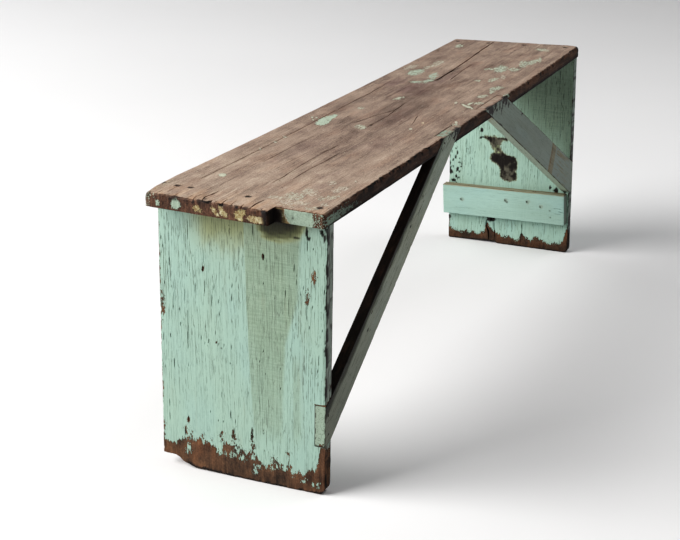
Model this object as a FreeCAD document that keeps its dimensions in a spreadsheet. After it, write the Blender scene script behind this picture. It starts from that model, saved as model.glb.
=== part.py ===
import FreeCAD, Part
import os
import Sketcher
from FreeCAD import Vector, Rotation, Placement

# Bucket bench: a long seat board nailed down on two board legs, two diagonal
# braces let into the front edges of the legs and of the seat, and a batten
# nailed across the far leg.
# Frame: +X along the bench from the near end to the far end, -Y the braced
# front, +Z up. Origin: floor level, middle of the bounding box. Millimetres.

doc = FreeCAD.newDocument("bucket_bench")

# ---------------------------------------------------------------- sizes
sizes = doc.addObject("Spreadsheet::Sheet", "Sizes")
CELLS = [
    ("bench_height", 457.0, "floor to the seat's top: 18 inches"),
    ("seat_length", 1342.0, "overall length of the seat board"),
    ("seat_width", 282.0, "a board about eleven inches wide"),
    ("seat_thick", 23.0, "an inch board, planed and worn"),
    ("step_depth", 25.0, "near end: how far the front corner is cut back"),
    ("step_width", 77.0, "near end: how wide the cut-back part is"),
    ("seat_corner_near", 12.0, "plan radius of the near back corner"),
    ("seat_corner_far", 7.0, "plan radius of the far corners"),
    ("leg_thick", 21.0, "leg board thickness"),
    ("leg_width", 279.0, "leg board width, 3 mm narrower than the seat"),
    ("leg_toe", 7.0, "radius worn on the legs' front bottom corners"),
    ("near_overhang", 38.5, "seat end to the near leg's outer face"),
    ("far_overhang", 15.0, "seat end to the far leg's outer face"),
    ("lean", 5.8, "sideways lean of each leg over its height, opposite ways"),
    ("brace_thick", 18.0, "brace strip thickness, and depth of its notches"),
    ("brace_head_z", 456.5, "height of the brace heads, just under the top"),
    ("near_head_low", 595.4, "near brace: lower edge's head, from the near end"),
    ("near_head_high", 505.9, "near brace: upper edge's head"),
    ("near_neck_x", 100.0, "near brace: where the upper edge bends to its foot"),
    ("near_neck_z", 181.8, "height of that bend"),
    ("near_foot_low", 80.5, "near brace foot at the leg's outer face, low"),
    ("near_heel_low", 86.5, "near brace foot at the leg's inner face, low"),
    ("near_heel_high", 160.0, "near brace foot at the leg's inner face, high"),
    ("near_foot_high", 149.5, "near brace foot at the leg's outer face, high"),
    ("far_head_low", 720.5, "far brace: lower edge's head, from the near end"),
    ("far_head_high", 841.4, "far brace: upper edge's head"),
    ("far_foot_high", 203.0, "far brace foot at the leg's outer face, high"),
    ("far_trim_x", 1304.0, "far brace: where the foot's level cut begins"),
    ("far_trim_z", 141.5, "height of the level cut at its start"),
    ("far_foot_low", 138.5, "height of the level cut at the outer face"),
    ("cleat_thick", 20.3, "batten thickness"),
    ("cleat_high", 67.8, "batten height"),
    ("cleat_low", 65.0, "floor to the batten's lower edge at its back end"),
    ("cleat_tilt", 3.8, "how much higher the batten's front end is"),
    ("cleat_front", -142.0, "y of the batten's front end"),
    ("cleat_long", 282.0, "batten length"),
    ("nail_head_long", 6.5, "cut nail head, long side"),
    ("nail_head_wide", 4.6, "cut nail head, short side"),
    ("nail_head_thick", 1.8, "cut nail head, thickness"),
    ("nail_shank_wide", 4.2, "shank at the head, long side"),
    ("nail_shank_thick", 2.8, "shank at the head and down to the point"),
    ("nail_point_wide", 1.4, "shank at the point, long side"),
    ("seat_nail_long", 64.0, "nails through the seat"),
    ("brace_nail_long", 50.0, "nails through the brace heads and feet"),
    ("cleat_nail_long", 38.0, "nails through the batten"),
    ("nail_set", 0.4, "how far each head is set below the wood"),
]
for row, (alias, value, note) in enumerate(CELLS, start=1):
    sizes.set("A%d" % row, alias)
    sizes.set("B%d" % row, str(value))
    sizes.set("C%d" % row, note)
    sizes.setAlias("B%d" % row, alias)
doc.recompute()


def size(alias):
    return float(sizes.get(alias))


# ---------------------------------------------------------------- helpers
def bind(obj, prop, formula):
    obj.setExpression(prop, formula)


def origin_plane(body, role):
    for feature in body.Origin.OriginFeatures:
        if feature.Role == role:
            return feature
    raise RuntimeError("no plane " + role)


def polygon_sketch(body, name, role, corners):
    """Closed polygon on an origin plane; each corner is a pair of formulas."""
    sketch = body.newObject("Sketcher::SketchObject", name)
    sketch.AttachmentSupport = [(origin_plane(body, role), "")]
    sketch.MapMode = "FlatFace"
    points = []
    probe = doc.addObject("Part::Vertex", name + "_probe")
    for u, v in corners:
        bind(probe, "X", u)
        bind(probe, "Y", v)
        probe.recompute()
        points.append(Vector(probe.X.Value, probe.Y.Value, 0))
    doc.removeObject(probe.Name)
    n = len(points)
    for i in range(n):
        sketch.addGeometry(Part.LineSegment(points[i], points[(i + 1) % n]), False)
    for i in range(n):
        sketch.addConstraint(Sketcher.Constraint("Coincident", i, 2, (i + 1) % n, 1))
    for i, (u, v) in enumerate(corners):
        for kind, value, formula in (("DistanceX", points[i].x, u),
                                     ("DistanceY", points[i].y, v)):
            index = sketch.addConstraint(
                Sketcher.Constraint(kind, -1, 1, i, 1, value))
            sketch.renameConstraint(index, "%s%d" % (kind[-1].lower(), i))
            sketch.setExpression("Constraints.%s%d" % (kind[-1].lower(), i), formula)
    return sketch


def prism(name, role, corners, depth, reverse=False):
    """A body: one polygon sketch padded to a depth formula."""
    body = doc.addObject("PartDesign::Body", name)
    sketch = polygon_sketch(body, name + "_outline", role, corners)
    doc.recompute()
    pad = body.newObject("PartDesign::Pad", name + "_pad")
    pad.Profile = sketch
    bind(pad, "Length", depth)
    pad.Reversed = reverse
    body.Tip = pad
    doc.recompute()
    return body


def edges_along(shape, axis, tests):
    """Names of the straight edges along an axis that pass one of the tests."""
    names = []
    for i, edge in enumerate(shape.Edges, start=1):
        if len(edge.Vertexes) != 2:
            continue
        a, b = edge.Vertexes[0].Point, edge.Vertexes[1].Point
        way = b.sub(a)
        if way.Length < 1e-6:
            continue
        if abs(abs(way.normalize().dot(axis)) - 1) < 0.01:
            middle = a.add(b).multiply(0.5)
            if any(test(middle) for test in tests):
                names.append("Edge%d" % i)
    return names


def round_edges(body, name, axis, tests, radius):
    base = body.Tip
    names = edges_along(base.Shape, axis, tests)
    if not names:
        raise RuntimeError("no edges for " + name)
    fillet = body.newObject("PartDesign::Fillet", name)
    fillet.Base = (base, names)
    bind(fillet, "Radius", radius)
    body.Tip = fillet
    doc.recompute()
    return fillet


def cut(name, base, tool):
    result = doc.addObject("Part::Cut", name)
    result.Base = base
    result.Tool = tool
    doc.recompute()
    return result


# Formulas used in more than one place. The bench's near end is at
# x = -seat_length/2, and the common front plane at y = -leg_width/2.
NEAR_END = "-Sizes.seat_length / 2"
FRONT = "-Sizes.leg_width / 2"
SEAT_UNDER = "(Sizes.bench_height - Sizes.seat_thick)"
NEAR_OUT = "(-Sizes.seat_length / 2 + Sizes.near_overhang)"
NEAR_IN = "(-Sizes.seat_length / 2 + Sizes.near_overhang + Sizes.leg_thick)"
FAR_OUT = "(Sizes.seat_length / 2 - Sizes.far_overhang)"
FAR_IN = "(Sizes.seat_length / 2 - Sizes.far_overhang - Sizes.leg_thick)"

Z_AXIS = Vector(0, 0, 1)
X_AXIS = Vector(1, 0, 0)

# ---------------------------------------------------------------- seat board
half = size("seat_length") / 2
front = -size("leg_width") / 2
back = front + size("seat_width")
seat_body = prism("seat_plank", "XY_Plane", [
    (NEAR_END, FRONT + " + Sizes.seat_width"),
    (NEAR_END, FRONT + " + Sizes.step_width"),
    (NEAR_END + " + Sizes.step_depth", FRONT + " + Sizes.step_width"),
    (NEAR_END + " + Sizes.step_depth", FRONT),
    ("Sizes.seat_length / 2", FRONT),
    ("Sizes.seat_length / 2", FRONT + " + Sizes.seat_width"),
], "Sizes.seat_thick")
round_edges(seat_body, "near_back_corner", Z_AXIS,
            [lambda p: p.x < -half + 1 and p.y > back - 1], "Sizes.seat_corner_near")
round_edges(seat_body, "far_corners", Z_AXIS,
            [lambda p: p.x > half - 1], "Sizes.seat_corner_far")
bind(seat_body, "Placement.Base.z", SEAT_UNDER)


# ---------------------------------------------------------------- leg boards
def leg(name, way, x_formula):
    """A board on end. Its feet stand off sideways by the lean, its top doesn't."""
    shift = "%s Sizes.lean" % way
    body = prism(name, "YZ_Plane", [
        (FRONT + shift, "0"),
        (FRONT + " + Sizes.leg_width" + shift, "0"),
        (FRONT + " + Sizes.leg_width", SEAT_UNDER),
        (FRONT, SEAT_UNDER),
    ], "Sizes.leg_thick")
    foot_y = front + (size("lean") if way == " +" else -size("lean"))
    round_edges(body, name + "_toe", X_AXIS,
                [lambda p: p.z < 1 and abs(p.y - foot_y) < 1], "Sizes.leg_toe")
    bind(body, "Placement.Base.x", x_formula)
    return body


near_leg = leg("near_leg_plank", " +", NEAR_OUT)
far_leg = leg("far_leg_plank", " -", FAR_OUT + " - Sizes.leg_thick")


# ---------------------------------------------------------------- braces
# Each brace is a flat strip in the plane of its leg's front edge. That plane
# tips by the leg's lean about the line where the leg's front edge meets the
# seat, so the sketch's heights are counted from that line.
def up(z_formula):
    return "%s - %s" % (z_formula, SEAT_UNDER)


def along(x_formula):
    return "%s - Sizes.seat_length / 2" % x_formula


def brace(name, corners, way, depth, ahead):
    body = prism(name, "XZ_Plane", corners, depth, True)
    body.Placement = Placement(Vector(0, 0, 0), Rotation(Vector(1, 0, 0), 0.5))
    angle = "atan(Sizes.lean / %s)" % SEAT_UNDER
    bind(body, "Placement.Rotation.Angle", angle)
    if way < 0:
        body.Placement = Placement(Vector(0, 0, 0), Rotation(Vector(-1, 0, 0), 0.5))
        bind(body, "Placement.Rotation.Angle", angle)
    bind(body, "Placement.Base.y", "%s - %s" % (FRONT, ahead))
    bind(body, "Placement.Base.z", SEAT_UNDER)
    doc.recompute()
    return body


near_corners = [
    (NEAR_OUT, up("Sizes.near_foot_low")),
    (NEAR_IN, up("Sizes.near_heel_low")),
    (along("Sizes.near_head_low"), up("Sizes.brace_head_z")),
    (along("Sizes.near_head_high"), up("Sizes.brace_head_z")),
    (along("Sizes.near_neck_x"), up("Sizes.near_neck_z")),
    (NEAR_IN, up("Sizes.near_heel_high")),
    (NEAR_OUT, up("Sizes.near_foot_high")),
]
far_corners = [
    (FAR_OUT, up("Sizes.far_foot_low")),
    (FAR_OUT, up("Sizes.far_foot_high")),
    (along("Sizes.far_head_high"), up("Sizes.brace_head_z")),
    (along("Sizes.far_head_low"), up("Sizes.brace_head_z")),
    (along("Sizes.far_trim_x"), up("Sizes.far_trim_z")),
]
near_strip = brace("near_brace_strip", near_corners, 1, "Sizes.brace_thick", "0")
far_strip = brace("far_brace_strip", far_corners, -1, "Sizes.brace_thick", "0")


# The notches are the strips' own outlines run on past the wood at both ends
# and open at the front, so that the strips fill them face to face.
def slope(x1, z1, x2, z2, x):
    """z at x on the line through two points, as a formula."""
    return "(%s) + ((%s) - (%s)) / ((%s) - (%s)) * ((%s) - (%s))" % (
        z1, z2, z1, x2, x1, x, x1)


def run_on(x1, z1, x2, z2):
    """x of the line through two points, 20 mm above the second one."""
    return "(%s) + ((%s) - (%s)) / ((%s) - (%s)) * 20" % (x2, x2, x1, z2, z1)


nl = (NEAR_IN, up("Sizes.near_heel_low"))
nh = (along("Sizes.near_neck_x"), up("Sizes.near_neck_z"))
fl = (along("Sizes.far_trim_x"), up("Sizes.far_trim_z"))
fh = (FAR_OUT, up("Sizes.far_foot_high"))
HEAD = up("Sizes.brace_head_z")
near_notch = brace("near_notch", [
    (NEAR_OUT + " - 10", slope(NEAR_IN, nl[1], NEAR_OUT, up("Sizes.near_foot_low"),
                               NEAR_OUT + " - 10")),
    (NEAR_IN, up("Sizes.near_heel_low")),
    (run_on(nl[0], nl[1], along("Sizes.near_head_low"), HEAD), HEAD + " + 20"),
    (run_on(nh[0], nh[1], along("Sizes.near_head_high"), HEAD), HEAD + " + 20"),
    (along("Sizes.near_neck_x"), up("Sizes.near_neck_z")),
    (NEAR_IN, up("Sizes.near_heel_high")),
    (NEAR_OUT + " - 10", slope(NEAR_IN, up("Sizes.near_heel_high"), NEAR_OUT,
                               up("Sizes.near_foot_high"), NEAR_OUT + " - 10")),
], 1, "Sizes.brace_thick + 3", "3")
far_notch = brace("far_notch", [
    (FAR_OUT + " + 10", slope(fl[0], fl[1], FAR_OUT, up("Sizes.far_foot_low"),
                              FAR_OUT + " + 10")),
    (FAR_OUT + " + 10", slope(along("Sizes.far_head_high"), HEAD, fh[0], fh[1],
                              FAR_OUT + " + 10")),
    (run_on(fh[0], fh[1], along("Sizes.far_head_high"), HEAD), HEAD + " + 20"),
    (run_on(fl[0], fl[1], along("Sizes.far_head_low"), HEAD), HEAD + " + 20"),
    (along("Sizes.far_trim_x"), up("Sizes.far_trim_z")),
], -1, "Sizes.brace_thick + 3", "3")

# ---------------------------------------------------------------- batten
cleat_body = prism("cleat_batten", "YZ_Plane", [
    ("Sizes.cleat_front", "Sizes.cleat_low + Sizes.cleat_tilt"),
    ("Sizes.cleat_front + Sizes.cleat_long", "Sizes.cleat_low"),
    ("Sizes.cleat_front + Sizes.cleat_long", "Sizes.cleat_low + Sizes.cleat_high"),
    ("Sizes.cleat_front", "Sizes.cleat_low + Sizes.cleat_high + Sizes.cleat_tilt"),
], "Sizes.cleat_thick")
bind(cleat_body, "Placement.Base.x", FAR_IN + " - Sizes.cleat_thick")


# ---------------------------------------------------------------- cut nails
# A cut nail: a small oblong head and a shank that tapers on two sides only.
# It is made pointing down from its head, then turned and put in place.
def nail(name, where, turn, long_alias):
    shank = doc.addObject("Part::Wedge", name + "_shank")
    wide, thin, point = ("Sizes.nail_shank_wide / 2", "Sizes.nail_shank_thick / 2",
                         "Sizes.nail_point_wide / 2")
    for prop, formula in (("Xmin", "-" + wide), ("Xmax", wide),
                          ("Zmin", "-" + thin), ("Zmax", thin),
                          ("X2min", "-" + point), ("X2max", point),
                          ("Z2min", "-" + thin), ("Z2max", thin),
                          ("Ymin", "Sizes.nail_head_thick / 2"),
                          ("Ymax", "Sizes." + long_alias)):
        bind(shank, prop, formula)
    # the wedge tapers along its own +Y: turned so that this points down
    shank.Placement = Placement(Vector(0, 0, 0), Rotation(Vector(1, 0, 0), -90))
    head = doc.addObject("Part::Box", name + "_head")
    bind(head, "Length", "Sizes.nail_head_long")
    bind(head, "Width", "Sizes.nail_head_wide")
    bind(head, "Height", "Sizes.nail_head_thick")
    bind(head, "Placement.Base.x", "-Sizes.nail_head_long / 2")
    bind(head, "Placement.Base.y", "-Sizes.nail_head_wide / 2")
    bind(head, "Placement.Base.z", "-Sizes.nail_head_thick")
    whole = doc.addObject("Part::Fuse", name)
    whole.Base = head
    whole.Tool = shank
    whole.Placement = Placement(Vector(0, 0, 0), turn)
    for axis, formula in zip("xyz", where):
        bind(whole, "Placement.Base." + axis, formula)
    return whole


def nail_group(name, nails):
    group = doc.addObject("Part::Compound", name)
    group.Links = nails
    return group


DOWN = Rotation()                                   # head up
INTO_FRONT = Rotation(Vector(1, 0, 0), 90)          # head faces -Y
INTO_LEG = Rotation(Vector(0, 1, 0), -90)           # head faces -X


def seat_nails(name, x_formula, ys):
    top = "Sizes.bench_height - Sizes.nail_set"
    return nail_group(name, [
        nail("%s_%d" % (name, i), (x_formula, "%s" % y, top), DOWN, "seat_nail_long")
        for i, y in enumerate(ys)])


def front_nails(name, way, spots):
    """Nails driven into the front, square to the bench's front plane."""
    made = []
    for i, (x, z) in enumerate(spots):
        face = "%s %s Sizes.lean * (1 - (%s) / %s) + Sizes.nail_set" % (
            FRONT, way, z, SEAT_UNDER)
        made.append(nail("%s_%d" % (name, i), (x, face, "%s" % z), INTO_FRONT,
                         "brace_nail_long"))
    return nail_group(name, made)


nails_near = seat_nails("nails_near_seat", NEAR_OUT + " + Sizes.leg_thick / 2",
                        (111.0, 89.5, -6.0, -121.0))
nails_far = seat_nails("nails_far_seat", FAR_IN + " + Sizes.leg_thick / 2",
                       (128.0, 57.5, -24.0, -114.5))
nails_near_head = front_nails("nails_near_head", "+", [
    (along("512"), 446.0), (along("554"), 445.0)])
nails_near_foot = front_nails("nails_near_foot", "+", [
    (NEAR_OUT + " + Sizes.leg_thick / 2 + 1", 101.0),
    (NEAR_OUT + " + Sizes.leg_thick / 2 - 1", 132.0)])
nails_far_head = front_nails("nails_far_head", "-", [
    (along("776"), 445.5), (along("830"), 446.0)])
nails_far_foot = front_nails("nails_far_foot", "-", [
    (FAR_IN + " + Sizes.leg_thick / 2", 158.0),
    (FAR_IN + " + Sizes.leg_thick / 2 + 1", 188.0)])
nails_batten = nail_group("nails_batten", [
    nail("nail_batten_%d" % i,
         (FAR_IN + " - Sizes.cleat_thick + Sizes.nail_set", "%s" % y, "%s" % z),
         INTO_LEG, "cleat_nail_long")
    for i, (y, z) in enumerate(((96.5, 101.5), (-6.5, 111.0),
                                (-57.0, 113.0), (-87.0, 105.5)))])
doc.recompute()

# ---------------------------------------------------------------- joinery
seat_1 = cut("seat_notched_near", seat_body, near_notch)
seat_2 = cut("seat_notched_far", seat_1, far_notch)
seat_holes = doc.addObject("Part::Compound", "seat_nail_holes")
seat_holes.Links = [nails_near, nails_far, nails_near_head, nails_far_head]
seat = cut("seat", seat_2, seat_holes)

near_leg_1 = cut("near_leg_notched", near_leg, near_notch)
near_leg_holes = doc.addObject("Part::Compound", "near_leg_nail_holes")
near_leg_holes.Links = [nails_near, nails_near_foot]
near_leg_2 = cut("near_leg", near_leg_1, near_leg_holes)

far_leg_1 = cut("far_leg_notched", far_leg, far_notch)
far_leg_holes = doc.addObject("Part::Compound", "far_leg_nail_holes")
far_leg_holes.Links = [nails_far, nails_far_foot, nails_batten]
far_leg_2 = cut("far_leg", far_leg_1, far_leg_holes)

near_brace_holes = doc.addObject("Part::Compound", "near_brace_nail_holes")
near_brace_holes.Links = [nails_near_head, nails_near_foot]
near_brace = cut("near_brace_bored", near_strip, near_brace_holes)
far_brace_holes = doc.addObject("Part::Compound", "far_brace_nail_holes")
far_brace_holes.Links = [nails_far_head, nails_far_foot]
far_brace = cut("far_brace_bored", far_strip, far_brace_holes)
cleat = cut("cleat_bored", cleat_body, nails_batten)

NODES = [
    (seat, "seat_board"),
    (near_leg_2, "near_leg_board"),
    (far_leg_2, "far_leg_board"),
    (near_brace, "near_brace"),
    (far_brace, "far_brace"),
    (cleat, "far_leg_cleat"),
    (nails_near, "nails_seat_to_near_leg"),
    (nails_far, "nails_seat_to_far_leg"),
    (nails_near_head, "nails_near_brace_head"),
    (nails_near_foot, "nails_near_brace_foot"),
    (nails_far_head, "nails_far_brace_head"),
    (nails_far_foot, "nails_far_brace_foot"),
    (nails_batten, "nails_cleat"),
]
for obj, label in NODES:
    obj.Label = label
doc.recompute()

# ---------------------------------------------------------------- checks
for obj in doc.Objects:
    if "Invalid" in obj.State or "Error" in obj.State:
        raise RuntimeError("%s (%s): %s" % (obj.Name, obj.Label, obj.State))
for obj, label in NODES:
    shape = obj.Shape
    if shape.isNull() or not shape.isValid() or not shape.Solids:
        raise RuntimeError("bad shape: " + label)
    if not label.startswith("nails") and len(shape.Solids) != 1:
        raise RuntimeError("%s has %d solids" % (label, len(shape.Solids)))

os.makedirs("parts", exist_ok=True)
for obj, label in NODES:
    obj.Shape.exportStep("parts/%s.step" % label)
    box = obj.Shape.BoundBox
    print("%-24s solids %d volume %10.1f  x %8.2f %8.2f  y %8.2f %8.2f  z %8.2f %8.2f" % (
        label, len(obj.Shape.Solids), obj.Shape.Volume,
        box.XMin, box.XMax, box.YMin, box.YMax, box.ZMin, box.ZMax))
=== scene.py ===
import bpy
import bmesh
import math
import numpy as np
from mathutils import Matrix, Vector


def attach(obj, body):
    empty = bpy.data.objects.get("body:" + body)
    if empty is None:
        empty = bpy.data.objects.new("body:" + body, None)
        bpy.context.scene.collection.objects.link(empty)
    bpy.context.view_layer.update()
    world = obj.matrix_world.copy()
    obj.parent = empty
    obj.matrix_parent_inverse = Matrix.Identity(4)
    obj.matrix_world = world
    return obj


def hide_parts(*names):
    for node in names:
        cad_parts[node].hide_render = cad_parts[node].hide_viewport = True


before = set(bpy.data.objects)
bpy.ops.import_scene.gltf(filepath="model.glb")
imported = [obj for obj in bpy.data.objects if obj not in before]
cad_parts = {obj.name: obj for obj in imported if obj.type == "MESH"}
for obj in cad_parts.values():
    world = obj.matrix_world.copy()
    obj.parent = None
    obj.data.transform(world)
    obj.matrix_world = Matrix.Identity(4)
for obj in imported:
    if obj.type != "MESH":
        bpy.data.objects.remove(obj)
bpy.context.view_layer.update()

# Lengths below are millimetres in the part's frame; meshes are scaled to metres at the very end.
SEAT_TOP, SEAT_UNDER = 457.0, 434.0
NEAR_END, FAR_END, STEP_END, STEP_Y = -671.0, 671.0, -646.0, -62.5
FRONT, BACK = -139.5, 142.5
LEAN = 5.8


# ------------------------------------------------------------------ noise and curves
def _hash(ix, iy, iz, seed):
    h = (ix.astype(np.int64) * 374761393 + iy.astype(np.int64) * 668265263
         + iz.astype(np.int64) * 2147483647 + seed * 144269504) & 0xFFFFFFFF
    h = ((h ^ (h >> 13)) * 1274126177) & 0xFFFFFFFF
    h = ((h ^ (h >> 16)) * 2246822519) & 0xFFFFFFFF
    h = (h ^ (h >> 15)) & 0xFFFFFF
    return h.astype(np.float64) / 0xFFFFFF * 2.0 - 1.0


def vnoise(x, y, z, seed=0):
    """Smooth noise from -1 to 1 with one cell to the unit."""
    x, y, z = np.broadcast_arrays(np.asarray(x, float), np.asarray(y, float), np.asarray(z, float))
    ix, iy, iz = np.floor(x), np.floor(y), np.floor(z)
    fx, fy, fz = x - ix, y - iy, z - iz
    fx, fy, fz = fx * fx * (3 - 2 * fx), fy * fy * (3 - 2 * fy), fz * fz * (3 - 2 * fz)
    out = 0.0
    for a in (0, 1):
        wx = fx if a else 1 - fx
        for b in (0, 1):
            wy = fy if b else 1 - fy
            for c in (0, 1):
                wz = fz if c else 1 - fz
                out = out + wx * wy * wz * _hash(ix + a, iy + b, iz + c, seed)
    return out


def fbm(x, y, z, seed=0, octaves=3, gain=0.5):
    total, amp, norm = 0.0, 1.0, 0.0
    for o in range(octaves):
        total = total + amp * vnoise(x * 2 ** o, y * 2 ** o, z * 2 ** o, seed + 17 * o)
        norm += amp
        amp *= gain
    return total / norm


def smooth(e0, e1, v):
    t = np.clip((v - e0) / (e1 - e0), 0, 1)
    return t * t * (3 - 2 * t)


def polyline_distance(a, b, pts):
    best = np.full(np.shape(a), 1e9)
    for (x0, y0), (x1, y1) in zip(pts[:-1], pts[1:]):
        dx, dy = x1 - x0, y1 - y0
        t = np.clip(((a - x0) * dx + (b - y0) * dy) / max(dx * dx + dy * dy, 1e-9), 0, 1)
        best = np.minimum(best, np.hypot(a - x0 - t * dx, b - y0 - t * dy))
    return best


def polygon_distance(a, b, pts):
    """Negative inside."""
    d = polyline_distance(a, b, list(pts) + [pts[0]])
    inside = np.zeros(np.shape(a), bool)
    for (x0, y0), (x1, y1) in zip(pts, list(pts[1:]) + [pts[0]]):
        if y0 == y1:
            continue
        crosses = ((y0 > b) != (y1 > b)) & (a < (x1 - x0) * (b - y0) / (y1 - y0) + x0)
        inside ^= crosses
    return np.where(inside, -d, d)


def ellipse_distance(a, b, cx, cy, rx, ry):
    q = np.hypot((a - cx) / rx, (b - cy) / ry)
    return (q - 1) * min(rx, ry)


def warp_z(x, y, z):
    """The real bench's twist and sag, as a lowering that grows with height."""
    s = (x + 671.0) / 1342.0
    d = -4.0 + (0.02597 * (1 - s) - 0.02560 * s) * (y - 1.5) - 4.06 * 4 * s * (1 - s)
    return z + d * z / 457.0


# ------------------------------------------------------------------ solids
def prism(corners, axis, lo, hi):
    """A closed prism. corners are pairs in the two axes other than axis; lo and hi are numbers, or functions of the pair."""
    bm = bmesh.new()
    others = [i for i in range(3) if i != axis]
    rings = []
    for level in (lo, hi):
        ring = []
        for p in corners:
            co = [0.0, 0.0, 0.0]
            co[others[0]], co[others[1]] = p
            co[axis] = level(p) if callable(level) else level
            ring.append(bm.verts.new(co))
        rings.append(ring)
    bm.faces.new(rings[0])
    bm.faces.new(list(reversed(rings[1])))
    n = len(corners)
    for i in range(n):
        j = (i + 1) % n
        bm.faces.new((rings[0][i], rings[1][i], rings[1][j], rings[0][j]))
    bmesh.ops.recalc_face_normals(bm, faces=bm.faces[:])
    return bm


def to_object(bm, name):
    me = bpy.data.meshes.new(name)
    bm.to_mesh(me)
    bm.free()
    ob = bpy.data.objects.new(name, me)
    bpy.context.scene.collection.objects.link(ob)
    return ob


def carve(bm, cutters):
    """bm with the cutters taken out, by exact booleans on plain polyhedra."""
    if not cutters:
        return bm
    body = to_object(bm, "tmp_body")
    cut_objects = []
    for i, c in enumerate(cutters):
        o = to_object(c, f"tmp_cut{i}")
        cut_objects.append(o)
        m = body.modifiers.new(f"b{i}", "BOOLEAN")
        m.operation, m.solver, m.object = "DIFFERENCE", "EXACT", o
    dg = bpy.context.evaluated_depsgraph_get()
    me = bpy.data.meshes.new_from_object(body.evaluated_get(dg))
    out = bmesh.new()
    out.from_mesh(me)
    bpy.data.meshes.remove(me)
    for o in [body] + cut_objects:
        me = o.data
        bpy.data.objects.remove(o)
        bpy.data.meshes.remove(me)
    bmesh.ops.remove_doubles(out, verts=out.verts[:], dist=1e-3)
    bmesh.ops.dissolve_limit(out, angle_limit=math.radians(0.05), verts=out.verts[:], edges=out.edges[:])
    return out


def lines(lo, hi, step, fine=(0.4, 1.0, 1.9, 3.2, 5.0), extra=()):
    """Places for cuts between lo and hi: dense beside both ends, then evenly spaced."""
    places = [lo + f for f in fine] + [hi - f for f in fine]
    a, b = lo + fine[-1], hi - fine[-1]
    n = max(1, int(round((b - a) / step)))
    places += [a + (b - a) * i / n for i in range(1, n)]
    places += list(extra)
    places = sorted(p for p in places if lo + 0.05 < p < hi - 0.05)
    out = []
    for p in places:
        if not out or p - out[-1] > 0.25:
            out.append(p)
    return out


def slice_up(bm, normal, places, faces=None):
    """Cuts the faces (all of them by default) by the planes normal . p = place, halving the set at each cut."""
    normal = Vector(normal).normalized()

    def cut(faces, places):
        if not places or not faces:
            return
        k = len(places) // 2
        p = places[k]
        edges = {e for f in faces for e in f.edges}
        geom = faces + list(edges) + list({v for e in edges for v in e.verts})
        res = bmesh.ops.bisect_plane(bm, geom=geom, dist=1e-3, plane_co=normal * p, plane_no=normal)
        low, high = [], []
        for f in res["geom"]:
            if isinstance(f, bmesh.types.BMFace):
                (low if normal.dot(f.calc_center_median()) < p else high).append(f)
        cut(low, places[:k])
        cut(high, places[k + 1:])

    cut(list(bm.faces) if faces is None else list(faces), list(places))


class Crack:
    """A split along the grain: points (s along the grain, t across it), its width and depth, and a little wander."""

    def __init__(self, pts, width, depth, seed=0, wander=0.5, wave=14.0, taper=18.0, dark=1.0):
        self.pts = sorted((float(s), float(t)) for s, t in pts)
        self.w, self.d, self.seed, self.wander, self.wave, self.dark = width, depth, seed, wander, wave, dark
        self.s0, self.s1 = self.pts[0][0], self.pts[-1][0]
        self.taper = min(taper, (self.s1 - self.s0) / 2)

    def centre(self, s):
        xs, ys = [p[0] for p in self.pts], [p[1] for p in self.pts]
        return (np.interp(s, xs, ys) + self.wander * vnoise(s / self.wave, 0.3, 0.7, self.seed)
                + 0.35 * self.wander * vnoise(s / self.wave * 3.1, 0.3, 0.7, self.seed + 5))

    def half(self, s):
        t = np.clip(np.minimum(s - self.s0, self.s1 - s) / self.taper, 0, 1)
        return 0.5 * self.w * np.sqrt(t) * (0.8 + 0.35 * vnoise(s / (self.wave * 0.8), 3.3, 1.7, self.seed + 9))


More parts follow.
